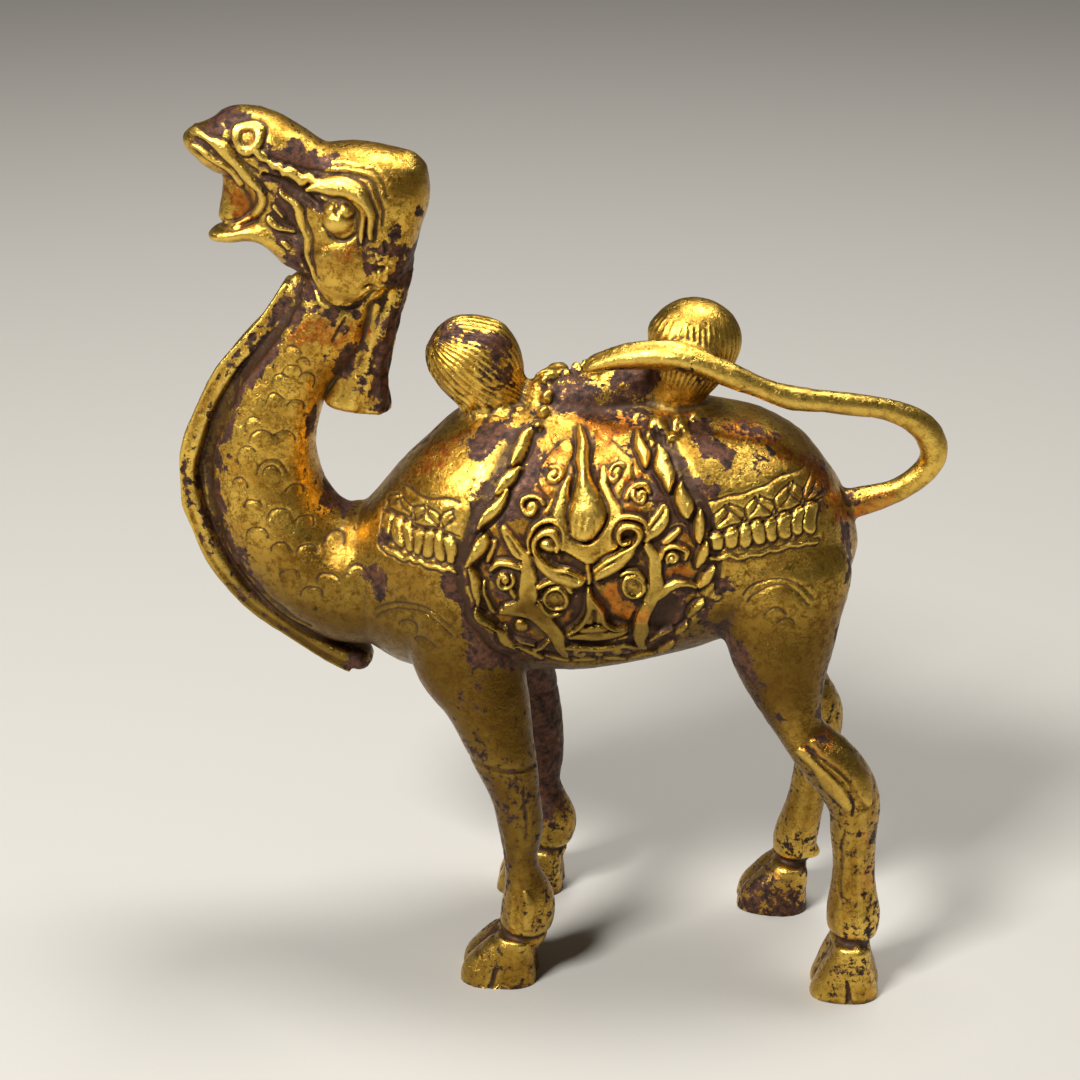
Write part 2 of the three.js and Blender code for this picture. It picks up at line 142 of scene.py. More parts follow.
# Radius of the beads along both edges of the throat's strip, and how many points they run through.
FRINGE_BEAD = 0.42
FRINGE_POINTS = 24
THROAT_WEB = [
    [-33, 0, 96, 2, 1.6], [-45, 0, 78, 3, 2], [-47, 0, 66, 3.4, 2.2], [-42, 0, 55, 3.4, 2.4],
    [-27, 0, 46, 3.4, 2.6],
]
NAPE_MANE = [
    [-21.6, 0, 101.5, 2.7, 2.4], [-23.4, 0, 95.5, 3, 2.6], [-25.2, 0, 90, 3.2, 2.6],
    [-26.6, 0, 84.5, 3.5, 2.4], [-27.6, 0, 78.4, 4.6, 2.6],
]
SKULL = [
    [-28.2, 0, 93.4, 3, 3.4], [-27.6, 0, 97, 5.4, 5.4], [-26.6, 0, 101, 7.3, 6], [-26.2, 0, 105.5, 8, 6.1],
    [-25.7, 0, 110, 8.6, 5.7], [-25.3, 0, 114.9, 7.4, 3.8],
]
MUZZLE = [
    [-27, 0, 106.5, 7, 5.6], [-33, 0, 109.4, 5.9, 5.2], [-37, 0, 112.3, 5.4, 4.8],
    [-40.6, 0, 114.8, 4.9, 4.5], [-44.3, 0, 114.5, 3.9, 4], [-47.2, 0, 114.9, 2, 3],
    [-49.2, 0, 115.1, 0.9, 1.5],
]
MOUTH_BACK = [
    [-33, 0, 100, 3.5, 4.2], [-36, 0, 103, 3.4, 3.9], [-37.6, 0, 106.6, 3, 3.7], [-37.6, 0, 110, 2.6, 3.6],
]
MOUTH_INSIDE = [[-41.4, 0, 113, 3, 2], [-41.2, 0, 108.6, 3, 1.9], [-41.4, 0, 103.6, 4, 2.3]]
LOWER_JAW = [
    [-30, 0, 99, 3.4, 4.4], [-35, 0, 101.4, 2.7, 4.2], [-39.5, 0, 103.3, 1.6, 3.8],
    [-43.6, 0, 102.8, 1.3, 3.5], [-46.7, 0, 102.3, 1, 2.4],
]
TOPKNOT = [-20.8, 0, 110.8, 3.4]
FRONT_HUMP = [
    [-7.4, 0, 77, 4.4, 4.2], [-9.2, 0, 81.4, 4.8, 4.5], [-11, 0, 85, 5.9, 5.3], [-13, 0, 88.4, 5.8, 5],
    [-14.6, 0, 92, 4.2, 3.6],
]
REAR_HUMP = [
    [14, 0, 76, 3.8, 3.8], [14.8, 0, 81.5, 3.6, 3.6], [16.2, 0, 86, 5, 4.7], [17.4, 0, 90.2, 6.3, 5.3],
    [18, 0, 95.4, 6.2, 5],
]
# Share of a hump's path that its round end takes.
HUMP_CAP = 0.3
# Flutes of each hump: the axis they run along, how many, their depth, the share of the axis where they
# start, are full, fade and end, and the lowest point that they reach.
HUMP_FLUTES = [
    [[[-4, 0, 80.4, 6, 5.4], [-10, -0.4, 84.8, 6, 5.4], [-17.6, -1.6, 89.8, 6, 5.4]], 36, 0.3,
     [0, 0.12, 0.93, 1], 81.4],
    [REAR_HUMP, 42, 0.28, [0.36, 0.46, 0.78, 0.95], 82],
]
TAIL = [
    [34, 0, 66.5, 2.6, 2.4], [39.5, 0, 67.6, 2.1, 1.9], [45.2, 0, 69.6, 1.8, 1.7], [49.2, 0, 73.8, 1.8, 1.8],
    [48, -0.6, 78.3, 1.8, 1.7], [43.4, -1.8, 81.2, 1.6, 1.5], [36, -3.8, 82.8, 1.5, 1.4],
    [29.5, -5.2, 84, 1.5, 1.4], [22, -6.2, 87, 1.7, 1.4], [15.6, -6.3, 89.2, 1.9, 1.4],
    [9.6, -5.8, 88.9, 1.9, 1.3], [5.4, -4.6, 87.6, 1.2, 1.1], [2.9, -4, 86.3, 0.7, 0.8],
]
# Ridge line along the thick end of the tail: its depth, and the shares of the way where it starts and fades.
TAIL_RIDGE = [0.22, 0.6, 0.95]
# The turn round the tail that faces the near flank.
FLANK_TURN = -0.5 * math.pi
# The gathered top of the cloth between the humps, and the locks of wool on it: x, y, z and radius.
CLOTH_TOP = [
    [-5, 0, 80.2, 3, 3.4], [-1, -0.4, 81.4, 3, 3.8], [4, -0.4, 82, 3, 4], [8, 0.4, 82.3, 3.2, 3.6],
    [11.5, 0.8, 82.6, 3, 3.2], [14, 0.5, 81, 3, 3],
]
LOCKS = [
    [-1.8, -1, 84, 1.7], [-0.6, 1, 84.4, 1.5], [0.4, -0.6, 84.6, 1], [2, 0.4, 85, 0.9], [3.2, 1.4, 85.2, 0.9],
    [-1.6, -3.8, 82.6, 0.9], [-2, -6, 81.2, 0.8], [-2.7, -8, 79.8, 0.8],
    [10.8, -5, 80, 1.2], [13.2, -6.4, 79.7, 1.5], [15.9, -6, 79.9, 1.4], [12.1, -8.1, 78.6, 1.2],
    [14.7, -8.3, 78.5, 1.2], [17.6, -4.4, 80.4, 1.1],
]
# Wool, rough little lumps round the foot of each hump and behind the ears: size, reach, height and points.
WOOL = [
    [2.2, 1.7, 0.4, [[-12, -3, 80.6], [-8.6, -4.8, 80.6], [-5.4, -4.6, 81]]],
    [2.2, 1.7, 0.4, [[-12, 3, 80.6], [-8.6, 4.8, 80.6], [-5.4, 4.6, 81]]],
    [2, 1.9, 0.55, [[11.4, 3.6, 80.8], [14, 5.4, 80.4], [17, 4.8, 80.8]]],
    [1.7, 3, 0.2, [[2, 0, 84], [9, 0, 84.6]]],
    [1.25, 1.5, 0.4, [[-22.6, -5, 101.6], [-23, -5, 98]]],
    [1.25, 1.5, 0.4, [[-22.6, 5, 101.6], [-23, 5, 98]]],
]
# Legs, from the body down. The far fore leg is the near one's mirror image, a step further back.
FAR_STEP = 1
FORE_LEG = [
    [-12, 5.6, 65, 7.6, 6.6], [-12.2, 7.2, 56, 8.6, 7.6], [-11.9, 8.6, 48, 7.9, 6.6],
    [-9.2, 10.4, 41, 5.9, 5.4], [-7.1, 11.6, 35, 4.5, 4.6], [-5.4, 12, 29, 3.7, 3.8],
    [-4.5, 12.1, 23, 3, 3.2], [-4.4, 12.2, 17.4, 2.4, 2.7], [-3.3, 12.3, 11.4, 3.7, 3.9],
    [-4.4, 12.3, 6, 3.4, 3.8], [-5.5, 12.3, 2, 3, 3.4],
]
NEAR_HIND_LEG = [
    [29, 4.6, 69, 8, 6.2], [29.3, 6.6, 61, 9.8, 7], [29.9, 8.2, 53, 8, 6.3], [30.9, 9.8, 45.6, 5.6, 5],
    [33, 11, 39, 3.2, 3.7], [37.6, 11.6, 34.2, 3.9, 4], [40.6, 11.7, 29, 3.7, 3.7],
    [40.8, 11.7, 24, 3.1, 3.1], [41.2, 11.7, 18.4, 2.8, 2.9], [41.4, 11.7, 11.5, 3.8, 3.8],
    [40.8, 11.7, 4, 3.4, 3.6],
]
FAR_HIND_LEG = [
    [29, 4.6, 69, 8, 6.2], [29.3, 6.4, 61, 9.8, 7], [29.9, 7.8, 53, 8, 6.3], [30.7, 8.8, 45.6, 5.6, 5],
    [32.8, 9.8, 39, 3.3, 3.7], [35.7, 10.2, 33, 3.7, 3.9], [36.4, 10.4, 28.6, 3.2, 3.5],
    [35.8, 10.4, 24, 2.7, 3], [35.1, 10.4, 18.4, 2.5, 2.8], [34, 10.4, 11.5, 3.2, 3.5],
    [32.4, 10.4, 4, 3, 3.3],
]
# Feet: the heel and the tip in X, the middle in Y, half a toe's width, the height and the lean to the heel.
FEET = [
    {"heel": -1.8, "tip": -12.6, "y": -12.4, "toe": 2.5, "height": 7, "lean": 0.42},
    {"heel": -0.2, "tip": -10.2, "y": 12.6, "toe": 2.5, "height": 7, "lean": 0.42},
    {"heel": 45.5, "tip": 36, "y": -11.8, "toe": 2.6, "height": 8, "lean": 0.12},
    {"heel": 36.2, "tip": 25.6, "y": 10.4, "toe": 2.5, "height": 7, "lean": 0.42},
]
# Half of how far each toe reaches past the middle of its hoof.
TOE_OVERLAP = 0.8
# Where a hoof's sweep ends, under the floor where the solid's box cuts it, and how high it is at full length.
SOLE_UNDER = -1.6
SOLE_EDGE = 0.6
# The hoof above its sole: shares of the lean, the height, the length and the width.
HOOF_RISE = [[0.4, 0.45, 0.82, 0.93], [0.86, 0.8, 0.6, 0.85], [1, 1.1, 0.42, 0.75]]
# Heel knobs behind the far fetlocks and the near fore one: x, y, z, radius.
HEEL_KNOBS = [[-1.2, -11.8, 9, 1.4], [-0.4, 12, 8.8, 1.5], [36.2, 10, 8.6, 1.5]]

# Saddle cloth, drawn in X and Z on the flank: how deep its field is sunk, the width of the slope to it, the
# field's edge, and the straps that run outside it.
CLOTH_SUNK = 0.5
CLOTH_BEVEL = 0.9
CLOTH_EDGE = [
    [-3.8, 80], [-6.6, 75], [-9.2, 69], [-10.6, 62], [-9.2, 55.4], [-5.6, 50.8], [0, 48], [6, 47], [12, 48.6],
    [16.6, 52.6], [19.6, 58.6], [20.2, 64.4], [18.8, 70], [15.6, 75.4], [11.4, 80], [4, 82],
]
STRAPS = [
    [[-4.2, 80, 1], [-6.6, 76.6, 1], [-8.8, 72.4, 1], [-11, 68, 0.9], [-12.2, 63, 0.8], [-11.6, 57.6, 0.7],
     [-9.6, 53, 0.6], [-5.6, 48.8, 0.5]],
    [[12.8, 80, 0.9], [15.6, 77, 1.1], [18.2, 73.6, 1], [20.4, 69.6, 0.8], [21.6, 65, 0.6], [21.4, 60, 0.5]],
]
STRAP_DEPTH = 0.3
# Leaf-shaped beads of the rope border, both tips and the half-width, and their height in half-widths.
BEADS = [
    [-3.5, 79.4, -5.7, 76, 0.75], [-4.7, 75.6, -7.5, 72.7, 0.9], [-5.9, 73, -9.3, 68.2, 0.85],
    [-8.3, 67.5, -10.9, 63.2, 0.9], [-10.5, 62.9, -9.6, 57.2, 0.65], [-9.7, 56.6, -7.6, 53.6, 0.75],
    [-7.4, 53.6, -4.8, 50.9, 0.7], [-4.6, 51, -1.6, 48.8, 0.5], [-1.2, 49, 2, 48, 0.32],
    [2.6, 48, 5.4, 47.8, 0.26], [6.6, 47.9, 9.6, 48.1, 0.28], [10.4, 48.4, 13.4, 49.6, 0.36],
    [13.8, 50, 16, 51.8, 0.5], [16, 53, 17.8, 55.2, 0.5], [17.8, 56.2, 19.8, 58.8, 0.55],
    [19.1, 60.6, 21, 63.7, 0.55], [19.1, 63.8, 19.9, 67, 0.8], [18.8, 67.2, 18.7, 71, 0.8],
    [17.2, 70.4, 16.5, 74.3, 1.05], [15.1, 74, 13.1, 78, 1.05], [11.9, 76.3, 10.6, 79.5, 0.8],
]
BEAD_HEIGHT = 1.25
# How wide a bead is on its way from tip to tip.
BEAD_SHAPE = [[0, 0.35], [0.3, 0.95], [0.65, 0.95], [1, 0.35]]
# The drop that hangs from the forehead: x, z and half-width.
DROP = [
    [2.8, 80.3, 0.3], [3.2, 79.4, 0.7], [3.4, 78, 0.85], [3.7, 76.5, 0.9], [3.9, 75, 0.9], [4.3, 73.6, 1.4],
    [4.4, 72, 2.1], [4.4, 70.6, 2.5], [4.4, 69.3, 2.1], [4.4, 68.3, 1.1],
]
DROP_HEIGHT = 1.6
# Flat plates of the beast mask: height, then points of x, z and half-width.
MASK_PLATES = [
    [0.14, [[1.3, 79.1, 0.3], [0.9, 77.7, 1.1], [0.1, 76.3, 1.6], [-0.1, 74.7, 1.5], [0.3, 73.4, 1.3],
           [1, 71.9, 1.3], [0, 69.8, 1.5]]],
    [0.14, [[5.5, 79.6, 0.4], [6.3, 77.9, 1.3], [7.5, 76.2, 2.1], [8.2, 74.4, 2.2], [8.9, 72.5, 2],
           [11.1, 71.1, 1.5], [13, 70.7, 1.1]]],
    [0.65, [[2, 74.6, 0.25], [1.5, 72.3, 0.7], [0.8, 70.4, 1], [1.1, 68.3, 1.2], [2.6, 66.4, 1.35],
            [4.8, 65.4, 1.4], [6.7, 66.5, 1.45], [7.9, 68.2, 1.35], [8.2, 70.2, 1.15], [7.5, 72.1, 0.95],
            [6.7, 74, 0.7], [6.3, 76, 0.35]]],
    [0.65, [[-6.3, 68.3, 0.35], [-5.4, 66.4, 0.8], [-4.1, 65.2, 0.8], [-3, 64.6, 0.55]]],
    [0.6, [[-3.2, 64.8, 0.65], [-3, 62.5, 1], [-3.1, 60.3, 1.15], [-3.2, 58.4, 1], [-4.6, 57.4, 0.65],
           [-6.1, 57.2, 0.35]]],
    [0.6, [[-6.6, 56.4, 0.4], [-4.4, 56.5, 0.75], [-2.2, 56.5, 1.3], [-0.6, 55, 1.3], [0.4, 52.7, 1],
           [1.6, 49.5, 0.5]]],
    [0.65, [[14.3, 71.7, 0.45], [13.9, 70.1, 0.9], [13.1, 68.8, 0.95], [12.3, 67.7, 0.55]]],
    [0.6, [[12.5, 66.6, 0.55], [13, 64.8, 0.8], [13.4, 63, 0.9], [13.6, 61.3, 1.1], [12.8, 59.1, 1.1]]],
    [0.65, [[13.3, 59.6, 0.8], [15.2, 60.7, 0.55], [17.1, 61.1, 0.4], [18.6, 60.7, 0.3]]],
    [0.65, [[12.8, 58.6, 0.9], [12, 56.8, 0.95], [11.8, 54.6, 0.9], [11.4, 52.5, 0.65], [12.2, 51.1, 0.4]]],
    [0.85, [[2.2, 52.9, 0.25], [3.5, 53.1, 0.55], [5.9, 53.2, 0.75], [8.5, 53.6, 0.6], [10, 54.2, 0.25]]],
    [1, [[3.8, 54.3, 0.45], [5.9, 54.6, 0.7], [8.1, 54.9, 0.45]]],
    [1.15, [[4.9, 56, 0.4], [5.7, 56.2, 0.6], [6.8, 56.1, 0.4]]],
    [1.25, [[5.2, 59.5, 0.2], [5.5, 57.8, 0.5], [5.7, 56.5, 0.6]]],
]
# Rounded ridges of the mask, in the same form: brows, nose, lids, lips and scrolls.
MASK_RIDGES = [
    [1.15, [[-2.1, 65.3, 0.4], [-1.5, 63.8, 0.7], [0.1, 62.5, 1.1], [1.8, 61.8, 1.25], [3.3, 61.5, 0.75],
            [4.2, 61.9, 0.3]]],
    [1.45, [[-2.1, 65.5, 0.35], [-1.2, 64.2, 0.4], [0.5, 63.3, 0.36], [2.5, 62.9, 0.32], [3.9, 62.1, 0.2]]],
    [1.3, [[0.6, 65.9, 0.35], [0.9, 67, 0.45], [0.2, 68, 0.5], [-1, 68.1, 0.5], [-2, 67.2, 0.5],
           [-2.1, 66, 0.5], [-1.9, 65.2, 0.5]]],
    [0.85, [[-2.8, 65.2, 0.2], [-3.1, 67, 0.3], [-2.3, 68.8, 0.35], [-0.6, 69.5, 0.35], [0.8, 69, 0.3],
            [1.6, 67.7, 0.3], [1.4, 66, 0.25]]],
    [1.15, [[5.9, 62.1, 0.35], [6.8, 63.3, 1], [8.3, 64.4, 1.15], [9.7, 65.5, 0.85], [10.6, 66.6, 0.6]]],
    [1.45, [[5.7, 63.3, 0.22], [7, 64.7, 0.3], [9, 65.9, 0.3], [10.5, 66.8, 0.4], [11.3, 67.9, 0.5],
            [11.1, 69, 0.5], [10.2, 69.4, 0.5], [9.2, 69, 0.5], [8.6, 68, 0.4], [9.1, 67.1, 0.35],
            [10, 67.4, 0.35]]],
    [0.85, [[7.6, 66.6, 0.2], [7.6, 68.4, 0.3], [8.6, 70, 0.35], [10.4, 70.5, 0.35], [11.9, 69.7, 0.3],
            [12.3, 68.2, 0.25]]],
    [1.45, [[4.9, 60.6, 0.25], [4.9, 58.6, 0.4], [4.8, 57, 0.45], [4.2, 55.7, 0.5], [3.2, 54.7, 0.45],
            [1.9, 53.9, 0.3]]],
    [1.45, [[5, 60.4, 0.25], [5.7, 58.4, 0.45], [6.3, 57, 0.55], [6.9, 55.8, 0.55], [8.2, 55, 0.45],
            [9.9, 54.7, 0.3]]],
    [0.6, [[2, 50.9, 0.35], [5.8, 50.6, 0.5], [10.6, 51.2, 0.35]]],
    [0.8, [[-1.9, 60.4, 0.25], [-0.6, 61.2, 0.35], [1, 61.2, 0.4], [2.5, 60.2, 0.3]]],
    [0.75, [[-1.9, 58.4, 0.3], [-1.3, 57, 0.35], [-0.1, 56.4, 0.35], [1.2, 56.6, 0.2]]],
    [0.8, [[8.9, 62.4, 0.25], [9.9, 63, 0.35], [11.2, 63, 0.35], [12, 62, 0.25]]],
    [0.7, [[-8.1, 62.3, 0.35], [-6.8, 63.4, 0.55], [-5.2, 63.5, 0.6], [-4.2, 63.2, 0.5]]],
    [0.7, [[13.8, 65, 0.3], [14.5, 66.5, 0.35], [16, 66.9, 0.4], [17.3, 66, 0.35], [17.3, 64.8, 0.3]]],
    [0.6, [[-9, 60.6, 0.2], [-8.9, 58.8, 0.35], [-8.2, 57.2, 0.3], [-7.4, 56.4, 0.2]]],
    [0.6, [[9.6, 72.6, 0.25], [10.2, 73.9, 0.35], [11.6, 74.3, 0.35], [12.5, 73.4, 0.3]]],
    [0.45, [[4.7, 63.8, 0.3], [4.9, 62.6, 0.35], [4.9, 61.2, 0.3]]],
    [0.5, [[-6.2, 53.8, 0.25], [-5.6, 52.2, 0.4], [-4.2, 51.4, 0.45], [-2.6, 51.2, 0.3]]],
    [0.5, [[-3.2, 50, 0.3], [-1.6, 50.6, 0.4], [-0.6, 51.8, 0.3]]],
    [0.45, [[12.9, 52.2, 0.3], [14.4, 53, 0.4], [15.8, 54.2, 0.3]]],
    [0.4, [[-7.6, 66.6, 0.3], [-8.2, 64.8, 0.45], [-8.4, 63.6, 0.3]]],
    [0.4, [[-5.6, 60.4, 0.3], [-5, 59.4, 0.45], [-4.6, 58.6, 0.3]]],
    [0.4, [[16.4, 68.6, 0.3], [15.4, 67.9, 0.5], [14.4, 67.4, 0.3]]],
]
# Curls of the mask: centre, outer radius, where they start in turns, hand and height.
CURLS = [
    [-2.9, 71.2, 1.55, 0.02, 1, 0.75], [-6.3, 61.1, 1.35, 0.1, -1, 0.65], [11.2, 73, 0.95, 0.4, 1, 0.65],
    [15.7, 64.9, 1, 0.6, -1, 0.75], [0, 75, 1.1, 0.3, -1, 0.55], [7.9, 75.6, 1.1, 0.1, 1, 0.55],
    [-8.4, 54.9, 0.9, 0.2, 1, 0.5], [21.4, 59.3, 0.6, 0.2, 1, 0.3],
]
CURL_TURNS = 1.25
# Round bosses: centre, radius, height.
BOSSES = [
    [-0.4, 66.6, 1.05, 1.3], [3.4, 49.9, 1, 0.8], [8.5, 50.2, 0.85, 0.8], [11.4, 51.2, 0.6, 0.6],
    [-4.2, 54.1, 1.05, 0.75], [5.9, 49.4, 0.7, 0.6],
]
# Eyes: centre and radius. Cuts: depth, then points as above.
EYES = [[0.5, 58.9, 1.65], [10.6, 61, 1.3]]
CUTS = [
    [0.35, [[14.3, 71.6, 0.2], [13.6, 70, 0.3], [12.8, 68.6, 0.2]]],
    [0.25, [[-5.9, 67.6, 0.2], [-5, 66.2, 0.25], [-4, 65, 0.2]]],
    [0.8, [[2.3, 51.7, 0.35], [4.8, 51.5, 0.5], [7.4, 51.8, 0.5], [9.8, 52.8, 0.4]]],
    [0.5, [[10.7, 56.5, 0.3], [10.5, 54.9, 0.45], [10.2, 52.9, 0.4]]],
    [0.4, [[5.4, 57.4, 0.2], [5.5, 56, 0.3], [5.6, 55, 0.25]]],
    [0.9, [[15.2, 58.4, 1.6], [14.8, 56.4, 1.9], [14.2, 54.4, 1.3]]],
    [0.25, [[4.2, 70.4, 0.15], [4.2, 68.6, 0.3], [4.3, 67.6, 0.2]]],
    [0.2, [[3.2, 70.2, 0.15], [3.1, 68.8, 0.25], [3.5, 67.8, 0.15]]],
    [0.2, [[5.4, 70, 0.15], [5.6, 68.6, 0.25], [5.2, 67.6, 0.15]]],
]

# Bands across shoulder and rump: line heights at both ends, petals, pleats and the way the petals lean.
BANDS = [
    {"x": [-23, -12.6], "top": [70.9, 70.9], "mid": [67.9, 66.9], "foot": [64.1, 62.7], "petals": 5,
     "pleats": 7},
    {"x": [20.6, 34.2], "top": [72.4, 75.6], "mid": [68.6, 71.6], "foot": [65.7, 67.4], "petals": 7,
     "pleats": 8},
]
PETAL_BULGE = 0.85
PLEAT_HEIGHT = 0.16
FRILL_POINTS = 12
# Scribed lines: half-width and depth.
SCRIBE = 0.24
SCRIBE_DEPTH = 0.24
ARC_DEPTH = 0.15
# Scribed arcs: centre, radius, from and to, in turns of the circle counted from +X towards +Z.
ARCS = [
    [29.4, 56.6, 4.4, 0.06, 0.44], [29.4, 56.6, 5.3, 0.08, 0.42], [29, 56.2, 1.6, 0.08, 0.44],
    [30.6, 55.2, 1.2, 0.05, 0.42], [-18.6, 48.8, 6.6, 0.1, 0.4], [-18.6, 48.8, 7.5, 0.12, 0.38],
    [-19.4, 51.8, 1.6, 0.05, 0.42], [-17, 50.4, 1.4, 0.05, 0.42], [-26.4, 58.2, 1.4, 0, 0.5],
    [-35, 87.8, 1.1, 0.02, 0.46], [-33.6, 86.6, 0.9, -0.05, 0.5], [-35.2, 85.2, 1.1, 0, 0.6],
    [-36.6, 84, 1, 0.1, 0.6], [-33.4, 83.8, 1.2, -0.1, 0.4], [-37.4, 81.2, 1.3, 0.06, 0.5],
    [-35, 80.2, 1.2, -0.05, 0.45], [-40.4, 78, 1.2, 0.1, 0.6], [-39, 75.8, 1.8, 0.02, 0.5],
    [-36.4, 76, 1.2, -0.05, 0.4], [-41.4, 73.6, 1.4, 0.1, 0.6], [-38.2, 71.4, 2, 0.02, 0.48],
    [-38.2, 71.4, 1.2, 0.02, 0.48], [-42.6, 69.6, 1.2, 0, 0.5], [-35.4, 68.6, 1.2, 0, 0.45],
    [-40.6, 66.6, 1.4, 0.05, 0.5], [-37.2, 65.4, 1.5, 0, 0.5], [-34, 64.4, 1.2, -0.05, 0.45],
    [-40.4, 62.6, 1.5, 0, 0.5], [-37, 60.8, 1.4, 0, 0.5], [-33.6, 60.6, 1.4, 0, 0.5],
    [-36, 57.2, 1.5, 0, 0.5], [-30.2, 61.8, 1.3, 0, 0.5], [-30.6, 57, 1.5, 0, 0.5], [-33, 54.6, 1.4, 0, 0.5],
]

# Head, drawn on its side in X and Z: the eye's ball, then ridges and cuts in the mask's form.
EYE_BALL = [-28.1, 5, 106.2, 2.2]
NOSTRIL = [-39.8, 116.2, 1.6]
HEAD_RIDGES = [
    [0.5, [[-47.8, 116.3, 0.25], [-45.6, 116, 0.45], [-43.6, 115.3, 0.65], [-42.2, 114, 0.75],
           [-40.9, 112.4, 0.7], [-39.5, 110.7, 0.55], [-38.4, 109.2, 0.35]]],
    [0.35, [[-47.2, 114.8, 0.25], [-45, 113.8, 0.4], [-43, 112.3, 0.45], [-41.2, 110, 0.4]]],
    [0.5, [[-38.4, 114.6, 0.5], [-37.6, 113.8, 0.65]]],
    [0.5, [[-37, 113.5, 0.4], [-36.3, 112.9, 0.7]]],
    [0.6, [[-35.8, 113, 0.5], [-35.1, 112.4, 0.7]]],
    [0.7, [[-34.9, 111.8, 0.55], [-34.2, 112, 0.75], [-33.4, 111.4, 0.7]]],
    [0.65, [[-33.2, 111, 0.6], [-32.3, 111.3, 0.6], [-31.2, 110.8, 0.5], [-29.8, 110.9, 0.3]]],
    [0.78, [[-32.4, 109.9, 0.35], [-30.6, 110.3, 0.85], [-28.8, 110.5, 1.2], [-27, 110.3, 1.3],
            [-25.4, 109.3, 1.1], [-24.4, 107.6, 0.8], [-23.9, 105.8, 0.55], [-24, 104, 0.35]]],
    [0.3, [[-26.4, 109, 0.4], [-25.4, 107.4, 0.45], [-25.1, 105.4, 0.4], [-25.4, 103.4, 0.3]]],
    [0.3, [[-29.6, 107.6, 0.4], [-28.8, 108.1, 0.55]]],
    [0.3, [[-27.5, 108, 0.4], [-26.8, 107.3, 0.5]]],
    [0.55, [[-35.5, 109.5, 0.3], [-34.2, 108, 0.5], [-33.2, 106, 0.6], [-32.6, 103.8, 0.6],
            [-32.3, 101.4, 0.45], [-31.8, 99, 0.35], [-30.6, 96.8, 0.3]]],
    [0.4, [[-36.8, 107, 0.28], [-35.7, 106.1, 0.3]]],
    [0.45, [[-37.6, 105.4, 0.35], [-36.2, 104.7, 0.4], [-34.8, 104, 0.28]]],
    [0.3, [[-36.2, 102.8, 0.3], [-35.2, 101.8, 0.3]]],
    [0.45, [[-45.6, 104.5, 0.35], [-42.4, 104.3, 0.4], [-40, 105.4, 0.45], [-38.7, 107.4, 0.5],
            [-38.6, 109.6, 0.4]]],
    [0.35, [[-28.4, 94.9, 0.3], [-26.4, 95.9, 0.35], [-24.6, 97.2, 0.3]]],
]
CHEEK_PAD = [0.5, [[-29, 97.4, 3.6], [-28.4, 99.4, 3.8]]]
HEAD_CUTS = [
    [0.2, [[-33.2, 112.6, 0.3], [-30, 112, 0.4], [-26.6, 112.1, 0.4], [-24, 111, 0.4], [-22.6, 108.8, 0.4],
           [-22.3, 105.8, 0.3]]],
    [0.16, [[-30, 113, 0.2], [-26.6, 113.1, 0.22], [-23.4, 112, 0.22], [-21.6, 109.4, 0.2]]],
    [0.7, [[-37.8, 111.4, 0.45], [-35.2, 110.6, 0.7], [-32.8, 109.1, 0.85], [-31, 107.9, 0.7]]],
    [0.3, [[-42.4, 115.3, 0.3], [-40.6, 113.3, 0.4], [-38.6, 111.8, 0.4]]],
    [0.3, [[-24.7, 106.4, 0.22], [-24.5, 104.2, 0.22]]],
    [0.4, [[-30.4, 105.2, 0.3], [-29, 104, 0.4], [-27.2, 103.8, 0.4], [-25.9, 104.8, 0.3]]],
    [0.4, [[-28.6, 108.3, 0.2], [-28.3, 107, 0.25]]],
    [0.4, [[-32.9, 101, 0.3], [-32.4, 98, 0.35], [-30.9, 95.6, 0.4], [-28.4, 94, 0.4], [-25.8, 94.8, 0.4],
           [-23.9, 96.4, 0.3]]],
    [0.4, [[-22.4, 103.2, 0.4], [-22, 102.3, 0.5]]],
    [0.5, [[-23.4, 100, 0.5], [-22.8, 99.8, 0.55]]],
    [0.25, [[-28.2, 92.8, 0.25], [-28.9, 91, 0.3], [-29.6, 89.6, 0.25]]],
]
# Neck: the groove behind the throat's strip, and the notched edge of the mane.
NECK_GROOVE = [
    [-34, 94.6, 0.6], [-38, 89.2, 0.75], [-42.6, 83.6, 0.85], [-45.4, 78, 0.85], [-47.2, 72, 0.85],
    [-47.2, 66.6, 0.85], [-45.6, 61.4, 0.75], [-43, 56.8, 0.7], [-39.2, 52.6, 0.6], [-34, 49, 0.5],
]
NECK_GROOVE_DEPTH = 0.45
MANE_EDGE = [[-21.2, 97.4], [-22.6, 93], [-24.4, 88.6], [-26.6, 84]]
MANE_NOTCHES = 26
# Legs: strokes on the outer side of the near legs, and ring creases of x, y, z, reach, depth and half-width.
NEAR_LEG_RIDGES = [
    [0.28, [[32.8, 37.4, 0.5], [35.4, 35.8, 1.2], [38, 33, 1.4], [39.6, 29.8, 0.6]]],
    [0.28, [[34.8, 38.6, 0.5], [38.4, 36.8, 1.2], [41.4, 33.4, 1.2], [42.4, 30, 0.5]]],
    [0.12, [[42, 28.8, 0.5], [41.9, 22, 0.8], [42.4, 15, 0.5]]],
    [0.1, [[-5.8, 14, 0.4], [-5.6, 12, 0.7], [-5.4, 9.4, 0.5]]],
    [0.1, [[-3.4, 14.4, 0.4], [-3, 12, 0.7], [-3.3, 9.4, 0.5]]],
    [0.1, [[39.6, 14.8, 0.4], [39.3, 12, 0.7], [39.6, 9.8, 0.5]]],
    [0.1, [[42.2, 14.8, 0.4], [42.3, 12, 0.7], [42.2, 9.8, 0.5]]],
]
